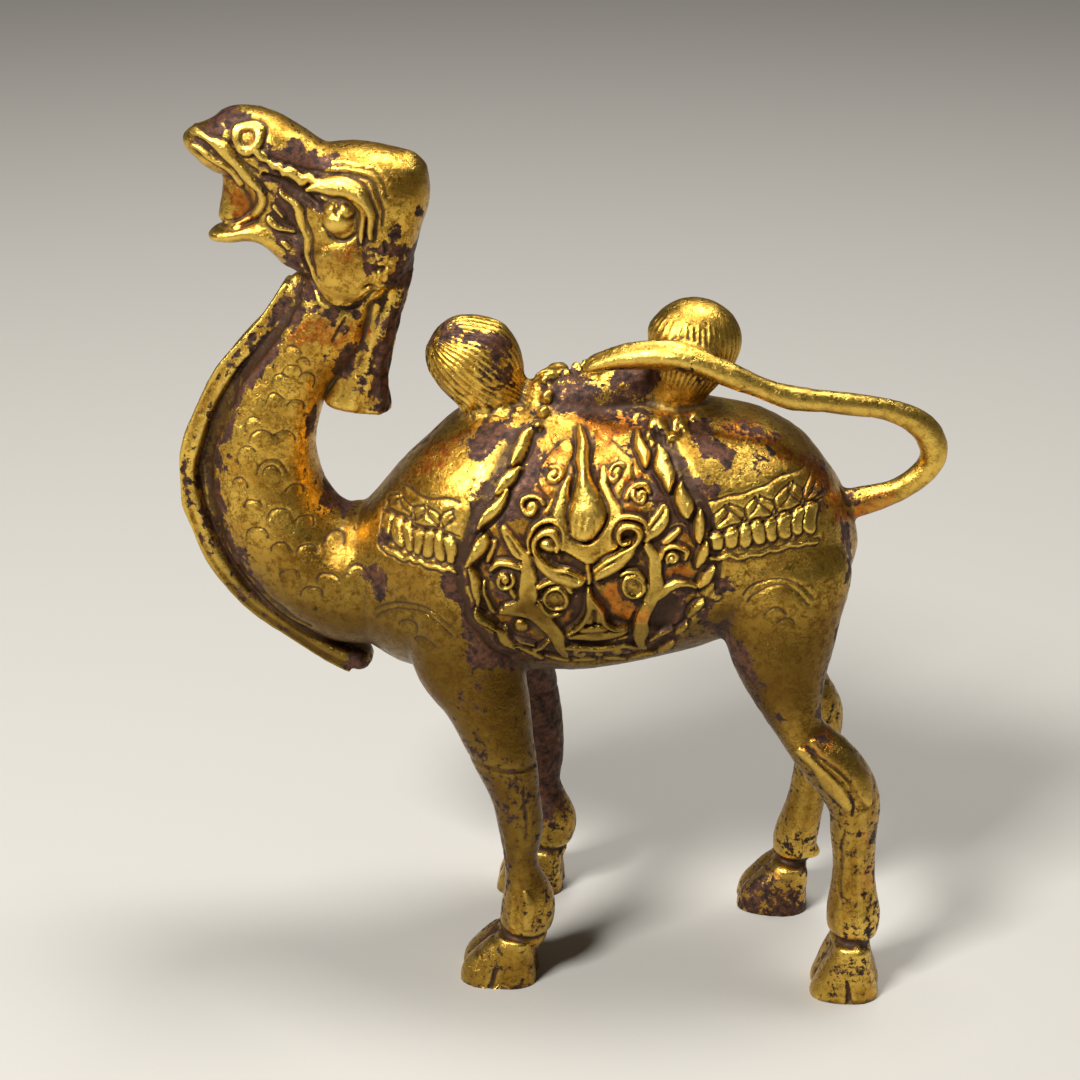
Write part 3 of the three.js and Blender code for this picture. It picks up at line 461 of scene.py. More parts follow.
NEAR_LEG_CUTS = [
    [0.25, [[34, 38, 0.25], [37, 35.2, 0.35], [39.6, 32, 0.35], [40.6, 28.6, 0.25]]],
    [0.14, [[-8.4, 26, 0.3], [-7, 22, 0.35], [-6.4, 18, 0.3]]],
    [0.14, [[-3.8, 31, 0.25], [-3.4, 27, 0.35], [-3.6, 23, 0.25]]],
    [0.14, [[39.4, 26, 0.25], [39.2, 20, 0.35], [39.6, 15, 0.25]]],
    [0.4, [[40.9, -0.6, 0.7], [40.8, 1.4, 0.45], [40.8, 3.4, 0.2]]],
    [0.3, [[-8.4, -0.6, 0.7], [-8, 1.2, 0.45], [-7.6, 3, 0.2]]],
]
LEG_CREASES = [
    [-7, -11.6, 33.6, 6, 0.2, 0.3], [-6, 11.8, 33.6, 6, 0.2, 0.3], [-4, -12.3, 7.4, 6, 0.45, 0.5],
    [-3, 12.3, 7.4, 6, 0.45, 0.5], [40.9, -11.7, 8.4, 6, 0.5, 0.5], [33.4, 10.4, 7.8, 6, 0.45, 0.5],
]

# Worn gilding, and along the mane's rear side painted shade: how far round a line the bronze shows, how much
# of it, and the line's points.
BARE_AND_SHADE = [
    [2.2, 1, [[-2, -8, 84], [-4.6, -11.6, 79], [-7.2, -14, 75]]],
    [1.5, 1, [[-7.2, -14, 75], [-9.6, -15.3, 70], [-11.8, -15.6, 65], [-12.3, -15.6, 59],
              [-10.4, -15, 53.6]]],
    [1.4, 1, [[13, -9, 80], [16.2, -11.8, 76.6], [18.8, -13.2, 73], [20.8, -14, 68.6]]],
    [1, 0.9, [[20.8, -14, 68.6], [21.6, -14.4, 62], [19.6, -14.6, 56]]],
    [1.9, 1, [[18.4, -7, 80], [20.4, -9.6, 77.4]]],
    [2.2, 1, [[-2.2, -12.4, 76.6], [-3, -13.8, 72.6]]],
    [3.4, 0.7, [[0, -4, 83.4], [4, -5, 83.4], [9, -5, 82.6]]],
    [2.4, 0.9, [[-6.6, -7, 80], [-9.6, -8.6, 78]]],
    [2.2, 0.62, [[20, -5, 81.4], [26, -6, 80], [32, -5, 78.2], [37, -3, 74.4], [40, 0, 69]]],
    [2.2, 0.7, [[35, -8, 76], [38.4, -7.4, 71.6], [39.8, -6, 65], [39, -7, 58]]],
    [3.4, 0.8, [[-31, 0, 66], [-27.6, 0, 71], [-22.6, 0, 76], [-17, 0, 80]]],
    [2.4, 1, [[-31.6, -4.4, 78], [-32, -5, 72], [-29.6, -6, 67]]],
    [1.6, 1, [[-24.4, -10, 63.6], [-23.6, -11, 60.4], [-24.4, -10.4, 57.4]]],
    [1.7, 1, [[-35, -3.6, 94], [-39, -4.2, 88.2], [-43.4, -4.6, 82.4], [-46, -4.8, 76.6], [-47.2, -5, 70],
              [-46.8, -5, 64], [-44.6, -5, 58.6], [-40.8, -5, 54]]],
    [1.6, 0.9, [[-31.6, -4.4, 94], [-28.6, -4.4, 92.4], [-25, -3.8, 93]]],
    [2.4, 1, [[-28, -3, 87], [-28.8, -3.6, 83]]],
    # Painted shade on the mane's rear side, done as bare bronze.
    [2, 1, [[-19, 0, 100], [-21.2, 0, 92], [-22.8, 0, 85], [-23.6, 0, 81]]],
    [2.4, 1.1, [[-34.8, -4.6, 114.4], [-31.4, -4.9, 113.6]]],
    [2.4, 1.15, [[-45, -2, 117.4], [-42.4, -2.8, 118.4]]],
    [1.7, 1, [[-37, -4.4, 110.6], [-35.6, -4.6, 107.6], [-36, -4.2, 104.4]]],
    [1.5, 1, [[-36.6, -4.6, 111], [-33.6, -5.2, 109.8], [-31, -5.6, 108]]],
    [1, 0.9, [[-24.6, -5.4, 106.6], [-24.4, -5.4, 103], [-25, -5, 100.4]]],
    [1.6, 1, [[-21.6, -5, 103], [-21, -4.6, 101.4]]],
    [1.2, 0.8, [[-17.6, -3, 108], [-17.8, -3, 102]]],
    [2, 0.9, [[-34, -3.6, 101], [-32.6, -3.6, 97]]],
    [2.2, 0.75, [[15, -3, 98.6], [21, -2.4, 98]]],
    [3, 0.8, [[-8, -13, 51], [0, -14, 48.4], [8, -14, 48], [15, -13.6, 52]]],
    [2.4, 0.75, [[21, -13, 52], [25, -12, 49.4], [28, -12, 47]]],
    [1.6, 0.7, [[27, -12.6, 43.6], [30.4, -12.6, 41]]],
    [1.4, 0.6, [[-10.6, -15, 46], [-9.4, -15, 40]]],
    [2, 0.75, [[-12.6, 0, 45], [-2, 0, 44], [10, 0, 45], [20, 0, 48]]],
    [6.5, 1, [[-5, 6.5, 46], [-3.6, 6.5, 30], [-3, 6.5, 16]]],
    [2.2, 1, [[15.2, -14.6, 58.6], [14.2, -14.4, 54.4]]],
    [1.5, 0.9, [[-6.8, -15.2, 60], [-5.8, -15.4, 58.4]]],
    [1.8, 0.9, [[-4.4, -14, 74.6], [-5.4, -14.8, 70.4]]],
    [1.6, 0.9, [[12.6, -13, 75.6], [16, -13.8, 69]]],
    [1, 0.9, [[3, -16, 58.4], [3.2, -16, 55.8]]],
    [3, 0.65, [[32, 10, 44], [35.4, 10, 32], [35, 10, 22]]],
    [3.4, 0.8, [[27.4, 7, 2], [29.6, 6.6, 4.6], [33.6, 6.6, 1.6]]],
    [1.6, 0.9, [[36, 6, 9], [36.6, 7, 7]]],
    [1.2, 0.8, [[31.4, -10, 40.6], [34.6, -13.4, 36]]],
    [1.3, 0.6, [[43.8, -12, 26], [43.8, -12, 18]]],
    [2, 1.3, [[-9.6, -15, 0], [-5, -16, 0.2]]],
    [1, 0.6, [[-9, -14.6, 42], [-7.4, -15, 30], [-6.6, -15, 18]]],
    [0.9, 0.6, [[-5.4, -15.6, 34], [-4.4, -15.4, 24]]],
    [1, 0.55, [[39, -14.4, 28], [39, -14.2, 16]]],
    [2, 0.6, [[24, -5, 85], [14, -5.2, 87.2], [7, -4, 86.4]]],
    [1.6, 0.5, [[-36, -1.4, 96.6], [-46, -2.4, 83], [-50.4, -2.6, 70], [-47, -2.6, 57], [-38, -2.6, 47]]],
    # Painted shade on the mane's rear side, done as bare bronze.
    [3.2, 1.2, [[-18.4, -2.2, 101], [-20, -2.4, 93], [-21.6, -2.4, 86.6], [-22.8, -2.4, 81]]],
    [2, 1.1, [[-28.4, -2.6, 42.6], [-25.4, -2.4, 41]]],
    [2.1, 0.85, [[-15.8, -3.4, 90], [-12.6, -3.6, 92.6], [-8.8, -4.4, 89.8], [-6.8, -4.6, 86]]],
    [1.6, 0.6, [[-24, -7, 73.6], [-17, -9, 78], [-12, -9, 79.6]]],
    [2, 0.42, [[24, -9, 77.6], [31, -9, 76], [36, -8.6, 70]]],
    [1.6, 0.9, [[39.6, -10.6, 56], [38.4, -11, 48], [36.4, -11, 42]]],
    [2.4, 0.9, [[8, -1.6, 84.6], [11.6, -1.6, 84.6]]],
    [3, 0.7, [[-30, 5, 78], [-34, 6, 66], [-24, 10, 62]]],
    [2.2, 0.8, [[0, 12, 78], [12, 12, 78]]],
    [2, 0.7, [[-10, 15, 68], [-11, 15, 56]]],
    [2, 0.7, [[21, 13, 68], [21, 14, 58]]],
    [2.4, 0.7, [[30, 9, 74], [37, 7, 66]]],
    [2, 0.6, [[-22, 8, 74], [-14, 10, 76]]],
    [2, 0.7, [[-30, 5, 104], [-34, 4, 110]]],
]
# Coppery ground, in the same form.
COPPER = [
    [2, 0.95, [[1, -14, 78.6], [-0.2, -15, 73.4]]],
    [2.6, 0.95, [[6.4, -13.6, 79], [8.6, -15, 73.6]]],
    [3, 0.6, [[14, -3, 98.4], [21, -3, 98.4]]],
    [1, 0.95, [[-39.8, -4, 116.2], [-39.7, -4, 116.2]]],
    [3, 0.62, [[-28, -4, 68], [-23, -6, 75], [-14, -7, 79.6]]],
    [3, 0.8, [[23, -6, 80.4], [31, -6, 78.4], [38, -5, 72], [40, -6, 62]]],
    [3, 1, [[-41, 0, 110], [-41, 0, 105]]],
    [2.6, 1, [[36.6, 0, 67], [42, 0, 68]]],
    [2, 0.8, [[-0.6, -12.4, 77.6], [0.6, -13.6, 74.4]]],
    [2, 0.75, [[7.6, -12.4, 77.6], [8.6, -13.8, 74]]],
    [3, 0.9, [[2, -6, 83], [6, -7.4, 81.4], [9.6, -7.6, 80.6]]],
    [1.5, 1, [[15, -15, 62.4], [17.4, -15, 62.6]]],
    [1.9, 1, [[8, -16, 58.4], [10, -16, 56.8]]],
    [1, 0.9, [[-7.2, -15.4, 67.4], [-7.4, -15.6, 64]]],
    [1, 0.8, [[16.4, -14.6, 68.4], [17.2, -14.6, 67]]],
    [2.4, 0.6, [[-26.6, -6.4, 71.6], [-21, -8.6, 74.4], [-15, -9, 76.6]]],
    [2, 0.7, [[-35, -4.4, 91], [-31, -4.6, 90], [-26, -3, 90.6]]],
    [1.6, 0.6, [[-29.6, -6, 102.4], [-26.6, -6, 101.6]]],
    [1.4, 0.6, [[-30.6, -5, 112.6], [-27, -5, 112.4]]],
    [2, 0.7, [[15, -5, 82.4], [18.6, -5, 78.4]]],
    [2, 0.7, [[33, -10, 75], [37, -8, 70]]],
    [1.6, 0.8, [[35, -13, 37.4], [39, -14, 33.6]]],
    [1.2, 0.6, [[43, -14, 27], [43.4, -13.6, 17]]],
    [1.3, 0.6, [[-2, -15, 7], [-3, -15, 4.6]]],
    [1, 0.8, [[-4.8, -14.6, 53.8], [-4.2, -14.6, 53.8]]],
    [2, 0.6, [[30, -10, 30], [32, 8, 4]]],
    [2, 0.6, [[2, 14, 74], [8, 14, 74]]],
    [2, 0.6, [[-18, 10, 72], [-24, 7, 72]]],
]


def curve(rows, t):
    """The smooth curve through the rows, at the shares t of the way from the first row to the last."""
    rows = np.asarray(rows, float)
    ends = np.vstack([2 * rows[0] - rows[1], rows, 2 * rows[-1] - rows[-2]])
    place = np.clip(t, 0, 1) * (len(rows) - 1)
    first = np.minimum(place.astype(int), len(rows) - 2)
    w = (place - first)[:, None]
    a, b, c, d = (ends[first + k] for k in range(4))
    return 0.5 * (2 * b + (c - a) * w + (2 * a - 5 * b + 4 * c - d) * w**2 + (3 * b - 3 * c + d - a) * w**3)


def path_frames(rows, t, upright=False):
    """Centres, sizes and the two directions across the path, at the shares t of the way."""
    found = curve(rows, t)
    step = 1e-3
    along = curve(rows, np.minimum(t + step, 1))[:, :3] - curve(rows, np.maximum(t - step, 0))[:, :3]
    if upright:
        along = np.tile([1.0, 0, 0], (len(t), 1))
    along /= np.linalg.norm(along, axis=1)[:, None]
    deep = np.cross(along, [0.0, 1, 0])
    deep /= np.linalg.norm(deep, axis=1)[:, None]
    wide = np.cross(deep, along)
    return found[:, :3], found[:, 3:5], deep, wide


def sweep(bm, rows, sides=28, rings=48, power=2.0, cap=0.12, upright=False):
    """Bends a sphere's rings along the rows, with round ends; a power above 2 squares the section."""
    made = bmesh.ops.create_uvsphere(bm, u_segments=sides, v_segments=rings, radius=1)["verts"]
    sphere = np.array([vert.co for vert in made])
    ring = np.arccos(np.clip(sphere[:, 2], -1, 1)) / math.pi
    turn = np.arctan2(sphere[:, 1], sphere[:, 0])
    crowded = 0.5 - 0.5 * np.cos(math.pi * ring)
    t = ring + END_CROWDING * (crowded - ring)
    near_end = np.minimum(1, np.minimum(t, 1 - t) / cap)
    closing = np.sqrt(1 - (1 - near_end) ** 2)
    centre, size, deep, wide = path_frames(rows, t, upright)
    squared_deep = np.sign(np.cos(turn)) * np.abs(np.cos(turn)) ** (2 / power)
    squared_wide = np.sign(np.sin(turn)) * np.abs(np.sin(turn)) ** (2 / power)
    points = centre + deep * (size[:, 0] * closing * squared_deep)[:, None]
    points += wide * (size[:, 1] * closing * squared_wide)[:, None]
    for vert, point in zip(made, points):
        vert.co = point


def ball(bm, x, y, z, radius):
    place = Matrix.Translation((x, y, z))
    bmesh.ops.create_icosphere(bm, subdivisions=3, radius=radius, matrix=place)


def mirrored(rows, side):
    return [[x, side * y, z, deep, wide] for x, y, z, deep, wide in rows]


def toes(bm, heel, tip, y, toe, height, lean):
    """A cloven hoof: two flared halves side by side, narrowing upward towards the heel by the lean."""
    middle = (heel + tip) / 2
    long = (heel - tip) / 2
    wide = toe + TOE_OVERLAP
    for half in (-1, 1):
        across = y + half * (2 * toe - wide)
        rows = [[middle - 0.35, across, SOLE_UNDER, long, wide], [middle, across, SOLE_EDGE, long, wide]]
        for back, up, length, width in HOOF_RISE:
            rows.append([middle + long * lean * back, across, height * up, long * length, wide * width])
        sweep(bm, rows, sides=24, rings=24, power=2.4, cap=0.08)


def main_forms(bm):
    """The masses of the figure, which the first casting melts into one another."""
    torso = [
        [TORSO_START + TORSO_STEP * i, 0, (back + belly) / 2, (back - belly) / 2, half]
        for i, (back, belly, half) in enumerate(TORSO)
    ]
    sweep(bm, torso, 48, 60, TORSO_POWER, cap=0.05, upright=True)
    sweep(bm, NECK, 40, 60)
    sweep(bm, THROAT_WEB)
    sweep(bm, SKULL, 36, 40, 2.5, cap=0.1)
    sweep(bm, MUZZLE, 36, 40, 2.3)
    sweep(bm, MOUTH_BACK)
    sweep(bm, LOWER_JAW, 28, 36, 2.4)
    sweep(bm, FRONT_HUMP, cap=HUMP_CAP)
    sweep(bm, REAR_HUMP, cap=HUMP_CAP)
    sweep(bm, CLOTH_TOP, 28, 48)
    sweep(bm, TAIL, 24, 120, cap=0.04)
    sweep(bm, mirrored(FORE_LEG, NEAR), 28, 64)
    sweep(bm, [[x + FAR_STEP, *rest] for x, *rest in FORE_LEG], 28, 64)
    sweep(bm, mirrored(NEAR_HIND_LEG, NEAR), 28, 64)
    sweep(bm, FAR_HIND_LEG, 28, 64)
    ball(bm, *TOPKNOT)
    for knob in HEEL_KNOBS:
        ball(bm, *knob)


def small_forms(bm):
    """What stands off the masses with an edge of its own."""
    sweep(bm, THROAT_FRINGE, 28, 120, 2.8, cap=0.03)
    sweep(bm, NAPE_MANE, 24, 60, 2.8, cap=0.05)
    sweep(bm, MOUTH_INSIDE, 20, 30)
    for foot in FEET:
        toes(bm, **foot)
    centre, size, deep, wide = path_frames(THROAT_FRINGE, np.linspace(0.02, 0.97, FRINGE_POINTS))
    for side in (NEAR, FAR):
        x, y, z, radius = EYE_BALL
        ball(bm, x, side * y, z, radius)
        edge = centre - deep * size[:, :1] + wide * (side * 0.86 * size[:, 1:])
        sweep(bm, [[*point, FRINGE_BEAD, FRINGE_BEAD] for point in edge], 12, 110, cap=0.02)
    for lock in LOCKS:
        ball(bm, *lock)


def cast(bm, name, voxel, smoothing):
    """Melts every form in the mesh into one skin and smooths it."""
    mesh = bpy.data.meshes.new(name)
    bm.to_mesh(mesh)
    bm.free()
    piece = bpy.data.objects.new(name, mesh)
    bpy.context.scene.collection.objects.link(piece)
    remesh = piece.modifiers.new("skin", "REMESH")
    remesh.mode = "VOXEL"
    remesh.voxel_size = voxel
    smooth = piece.modifiers.new("fillets", "SMOOTH")
    smooth.factor = 0.5
    smooth.iterations = smoothing
    return apply_modifiers(piece)


def apply_modifiers(piece):
    evaluated = piece.evaluated_get(bpy.context.evaluated_depsgraph_get())
    finished = bpy.data.meshes.new_from_object(evaluated)
    old = piece.data
    piece.modifiers.clear()
    piece.data = finished
    bpy.data.meshes.remove(old)
    return piece


def coordinates(mesh):
    flat = np.empty(len(mesh.vertices) * 3, np.float32)
    mesh.vertices.foreach_get("co", flat)
    return flat.reshape(-1, 3).astype(float)


def normals(mesh):
    flat = np.empty(len(mesh.vertices) * 3, np.float32)
    mesh.vertex_normals.foreach_get("vector", flat)
    return flat.reshape(-1, 3).astype(float)


def store(mesh, name, values):
    attribute = mesh.attributes.get(name) or mesh.attributes.new(name, "FLOAT", "POINT")
    attribute.data.foreach_set("value", np.asarray(values, np.float32))


def stored(mesh, name):
    values = np.empty(len(mesh.vertices), np.float32)
    mesh.attributes[name].data.foreach_get("value", values)
    return values.astype(float)


def smoothstep(low, high, value):
    share = np.clip((value - low) / (high - low), 0, 1)
    return share * share * (3 - 2 * share)


def arc(x, z, radius, start, end, width, count=10):
    """Points of a circular stroke, from and to in turns, counted from +X towards +Z."""
    turns = np.linspace(start, end, count) * 2 * math.pi
    return [[x + radius * math.cos(turn), z + radius * math.sin(turn), width] for turn in turns]


class Relief:
    """Heights over a flat drawing in X and Z, chased one stroke after another."""

    # The most samples along a stroke, and the line beside a ridge: its distance and half-width.
    SAMPLES = 120
    LINE_AWAY = 0.2
    LINE_HALF = 0.22

    def __init__(self, x, z):
        self.x = x
        self.z = z
        self.height = np.zeros(len(x))

    def reach(self, points):
        """The vertices near a stroke, their distance from it in half-widths, and how far outside they lie."""
        points = np.asarray(points, float)
        length = np.abs(np.diff(points[:, :2], axis=0)).sum()
        count = int(max(6, length / (0.3 * points[:, 2].min()))) + 1
        line = curve(points, np.linspace(0, 1, min(count, self.SAMPLES)))
        margin = 1.2 * points[:, 2].max() + 0.8
        low = line[:, :2].min(axis=0) - margin
        high = line[:, :2].max(axis=0) + margin
        inside = (self.x > low[0]) & (self.x < high[0]) & (self.z > low[1]) & (self.z < high[1])
        close = np.flatnonzero(inside)
        if not len(close):
            return close, np.zeros(0), np.zeros(0)
        off_x = self.x[close, None] - line[None, :, 0]
        off_z = self.z[close, None] - line[None, :, 1]
        distance = np.sqrt(off_x**2 + off_z**2)
        return close, (distance / line[:, 2]).min(axis=1), (distance - line[:, 2]).min(axis=1)

    def ridge(self, height, points, flat=2, ditch=0.16):
        """Raises a stroke to a height and cuts a line into whatever lower ground borders it."""
        close, share, beyond = self.reach(points)
        dome = np.clip(1 - share**flat, 0, 1) ** (1 / flat)
        ground = self.height[close]
        line = ditch * np.exp(-(((beyond - self.LINE_AWAY) / self.LINE_HALF) ** 2))
        line *= (beyond > 0) * (ground < 0.7 * height)
        self.height[close] = np.where(beyond < 0, np.maximum(ground, height * dome), ground - line)

    def cut(self, depth, points):
        close, share, _ = self.reach(points)
        self.height[close] -= depth * np.clip(1 - share**2, 0, 1)

    def boss(self, x, z, radius, height):
        self.ridge(height, [[x - 0.01, z, radius], [x + 0.01, z, radius]])

    def curl(self, x, z, radius, start, hand, height):
        """A spiral that tightens from its outer end to a round button."""
        points = []
        for share in np.linspace(0, 1, 14):
            turn = (start + hand * CURL_TURNS * share) * 2 * math.pi
            reach = radius * (1 - 0.8 * share)
            points.append([x + reach * math.cos(turn), z + reach * math.sin(turn), 0.3 + 0.08 * share])
        self.ridge(height, points, ditch=0.1)
        self.boss(x, z, 0.36 * radius, height * 1.15)


def inside_outline(outline, x, z):
    """Whether each point lies within a closed outline."""
    crossings = np.zeros(len(x), int)
    for (x0, z0), (x1, z1) in zip(outline, np.roll(outline, -1, axis=0)):
        spans = (z0 > z) != (z1 > z)
        crossings += spans & (x < x0 + (z - z0) * (x1 - x0) / (z1 - z0 + 1e-9))
    return crossings % 2 == 1


def cloth_share(relief):
    """1 on the sunk field of the saddle cloth, fading to 0 at its edge."""
    outline = np.array(CLOTH_EDGE, float)
    closed = np.vstack([outline, outline[:1]])
    border = curve(closed, np.linspace(0, 1, 120))
    close, share, _ = relief.reach(np.column_stack([closed, np.full(len(closed), CLOTH_BEVEL)]))
    field = inside_outline(border[:-1], relief.x, relief.z).astype(float)
    field[close] *= np.clip(share, 0, 1)
    return field


def draw_saddle(relief):
    for height, points in MASK_PLATES:
        relief.ridge(height, points, flat=5, ditch=0.1)
    for x, z, radius in EYES:
        relief.ridge(0.9, arc(x, z, radius, 0, 1, 0.34, 16))
        relief.ridge(0.6, [[x - 0.01, z, 0.78 * radius], [x + 0.01, z, 0.78 * radius]], flat=4, ditch=0)
        relief.cut(0.14, arc(x, z, 0.5 * radius, 0, 1, 0.16, 12))
    for height, points in MASK_RIDGES:
        relief.ridge(height, points)
    for x, z, radius, height in BOSSES:
        relief.boss(x, z, radius, height)
    for curl in CURLS:
        relief.curl(*curl)
    relief.ridge(DROP_HEIGHT, DROP, ditch=0.35)
    for depth, points in CUTS:
        relief.cut(depth, points)
    for points in STRAPS:
        relief.cut(STRAP_DEPTH, points)
    for x0, z0, x1, z1, half in BEADS:
        leaf = [[x0 + (x1 - x0) * share, z0 + (z1 - z0) * share, half * width]
                for share, width in BEAD_SHAPE]
        relief.ridge(BEAD_HEIGHT * half, leaf, ditch=0.25)


def band_point(band, share, line):
    start, end = band["x"]
    low, high = band[line]
    return start + (end - start) * share, low + (high - low) * share


def draw_band(relief, band):
    """Leaning lotus petals scribed between lines, over a row of pleats with round feet."""
    for i in range(band["petals"]):
        share = (i + 0.5) / band["petals"]
        lean = 0.36 * (-1) ** i / band["petals"]
        x0, z0 = band_point(band, share - lean, "mid")
        x1, z1 = band_point(band, share + lean, "top")
        for bulge in (-PETAL_BULGE, PETAL_BULGE):
            middle = [0.55 * x0 + 0.45 * x1 + bulge, 0.55 * z0 + 0.45 * z1, SCRIBE]
            relief.cut(SCRIBE_DEPTH, [[x0, z0 + 0.2, SCRIBE], middle, [x1, z1 - 1, SCRIBE]])
        relief.cut(0.6 * SCRIBE_DEPTH, [[x0, z0 + 0.6, 0.16], [x1, z1 - 1.6, 0.16]])
    for i in range(band["pleats"]):
        share = (i + 0.5) / band["pleats"]
        x0, z0 = band_point(band, share, "mid")
        x1, z1 = band_point(band, share, "foot")
        half = 0.48 * (band["x"][1] - band["x"][0]) / band["pleats"]
        pleat = [[x0, z0 - 1.1, half], [x1, z1 + half, 0.9 * half]]
        relief.ridge(PLEAT_HEIGHT, pleat, flat=3, ditch=SCRIBE_DEPTH)
    for line, lower in (("top", 0), ("mid", 0), ("mid", 0.55)):
        points = []
        for share in np.linspace(-0.03, 1.03, 5):
            x, z = band_point(band, share, line)
            points.append([x, z - lower, SCRIBE])
        relief.cut(SCRIBE_DEPTH, points)
    frill = []
    for i in range(FRILL_POINTS):
        x, z = band_point(band, i / (FRILL_POINTS - 1), "foot")
        frill.append([x, z - 0.9 - 0.3 * (i % 2), SCRIBE])
    relief.ridge(0.1, frill)


def draw_head(relief):
    height, points = CHEEK_PAD
    relief.ridge(height, points, ditch=0)
    x, z, radius = NOSTRIL
    relief.ridge(0.5, arc(x, z, radius, 0, 1, 0.6, 16), flat=3)
    relief.ridge(0.18, [[x, z, 0.6 * radius], [x + 0.1, z, 0.6 * radius]], flat=4, ditch=0)
    for height, points in HEAD_RIDGES:
        relief.ridge(height, points, ditch=0.14)
    for depth, points in HEAD_CUTS:
        relief.cut(depth, points)


def draw_neck(relief):
    relief.cut(NECK_GROOVE_DEPTH, NECK_GROOVE)
    for x, z in curve(MANE_EDGE, np.linspace(0, 1, MANE_NOTCHES)):
        relief.ridge(0.22, [[x - 0.5, z + 0.2, 0.42], [x + 0.25, z - 0.3, 0.3]], ditch=0)


def draw_side(relief, side):
    draw_saddle(relief)
    for band in BANDS:
        draw_band(relief, band)
    for x, z, radius, start, end in ARCS:
        relief.cut(ARC_DEPTH, arc(x, z, radius, start, end, SCRIBE))
    draw_head(relief)
    draw_neck(relief)
    if side == NEAR:
        for height, points in NEAR_LEG_RIDGES:
            relief.ridge(height, points, ditch=0.03)
        for depth, points in NEAR_LEG_CUTS:
            relief.cut(depth, points)


def around(co, rows, low, high):
    """For vertices near a sweep: share of the way, turn round it, and distance in half-sizes."""
    t = np.linspace(low, high, PATH_STEPS)
    centre, size, deep, wide = path_frames(rows, t)
    margin = 1.6 * size.max()
    close = np.flatnonzero(
        ((co > centre.min(axis=0) - margin) & (co < centre.max(axis=0) + margin)).all(axis=1)
    )
    nearest = np.empty(len(close), int)
    for start in range(0, len(close), BLOCK):
        block = co[close[start:start + BLOCK]]
        away = ((block[:, None, :] - centre[None]) ** 2).sum(axis=2)
        nearest[start:start + BLOCK] = away.argmin(axis=1)
    off = co[close] - centre[nearest]
    across = (off * deep[nearest]).sum(axis=1) / size[nearest, 0]
    beside = (off * wide[nearest]).sum(axis=1) / size[nearest, 1]
    return close, t[nearest], np.arctan2(beside, across), np.hypot(across, beside)


def hump_flutes(co):
    """Wavy flutes of wool that run up each hump."""
    height = np.zeros(len(co))
    for rows, count, depth, (start, full, fade, end), low in HUMP_FLUTES:
        close, t, turn, away = around(co, rows, start, 1)
        waver = 0.7 * np.sin(6 * t + 2 * turn) + 0.5 * np.sin(13 * t - 3 * turn) + 0.6 * np.sin(3 * turn)
        flute = np.abs(np.sin(count / 2 * turn + waver)) - 0.6
        broken = 0.75 + 0.25 * np.sin(19 * t + 5 * turn)
        strength = smoothstep(start, full, t) * (1 - smoothstep(fade, end, t)) * broken
        strength *= smoothstep(low - 1, low, co[close, 2]) * (away < 1.5)
        height[close] += depth * flute * strength
    return height


def tail_ridge(co):
    """A ridge along the outer side of the tail's thick end, with a hollow on both sides of it."""
    depth, start, full = TAIL_RIDGE
    close, t, turn, away = around(co, TAIL, start, 1)
    height = np.zeros(len(co))
    strength = smoothstep(start, 0.5 * (start + full), t) * (1 - smoothstep(full, 1, t)) * (away < 1.5)
    height[close] = depth * np.cos(3 * (turn - FLANK_TURN)) * strength
    return height


def lock_curls(co):
    """Bent strands on each lock of wool."""
    height = np.zeros(len(co))
    for i, (x, y, z, radius) in enumerate(LOCKS):
        centre = np.array([x, y, z])
        close = np.flatnonzero((np.abs(co - centre) < 1.4 * radius).all(axis=1))
        off = (co[close] - centre) / radius
        fade = 1 - smoothstep(1.05, 1.4, np.linalg.norm(off, axis=1))
        turn = np.arctan2(off[:, 2], off[:, 0])
        strand = np.cos(2 * turn + 5.5 * np.hypot(off[:, 0], off[:, 2]) + i)
        height[close] += 0.11 * radius * strand * fade
    return height


def wool(co):
    """Rough little lumps of wool."""
    height = np.zeros(len(co))
    shaken = (co + drift(co, *WOOL_DRIFT)) * math.pi
    for size, reach, most, points in WOOL:
        x, y, z = (shaken / size).T
        lumps = np.abs(np.sin(x) * np.sin(y + 0.7) * np.sin(z + 0.4)) ** 0.5
        height = np.maximum(height, most * spread(co, [[reach, 1, points]]) * lumps)
    return height


def mane_strands(co):
    """Strands of hair down the nape's mane."""
    height = np.zeros(len(co))
    close, t, turn, away = around(co, NAPE_MANE, 0, 1)
    strength = (away > 0.5) & (away < 1.5) & (co[close, 0] > -29) & (t < 0.98) & (t > 0.1)
    strands = np.sin(6 * turn + 20 * t) + 0.6 * np.sin(13 * turn - 9 * t)
    height[close] += 0.13 * strands * strength
    return height


def leg_creases(co):
    """Rings pressed in at knee and pastern."""
    height = np.zeros(len(co))
    for x, y, z, reach, depth, half in LEG_CREASES:
        close = np.hypot(co[:, 0] - x, co[:, 1] - y) < reach
        sloped = co[:, 2] - z + 0.12 * (co[:, 0] - x)
        height -= close * depth * np.exp(-((sloped / half) ** 2))
    return height


def drift(co, frequency, amount):
    """Smooth uneven shifts of points, from waves that cross in fixed random directions."""
    chance = np.random.default_rng(DRIFT_SEED)
    shift = np.zeros_like(co)
    for _ in range(DRIFT_WAVES):
        direction = chance.normal(size=3)
        length = chance.uniform(0.6, 1.6) / np.linalg.norm(direction)
        along = co @ direction * (2 * math.pi * frequency * length)
        for axis in range(3):
            shift[:, axis] += np.sin(along + chance.uniform(0, 2 * math.pi))
    return shift * amount / math.sqrt(DRIFT_WAVES)


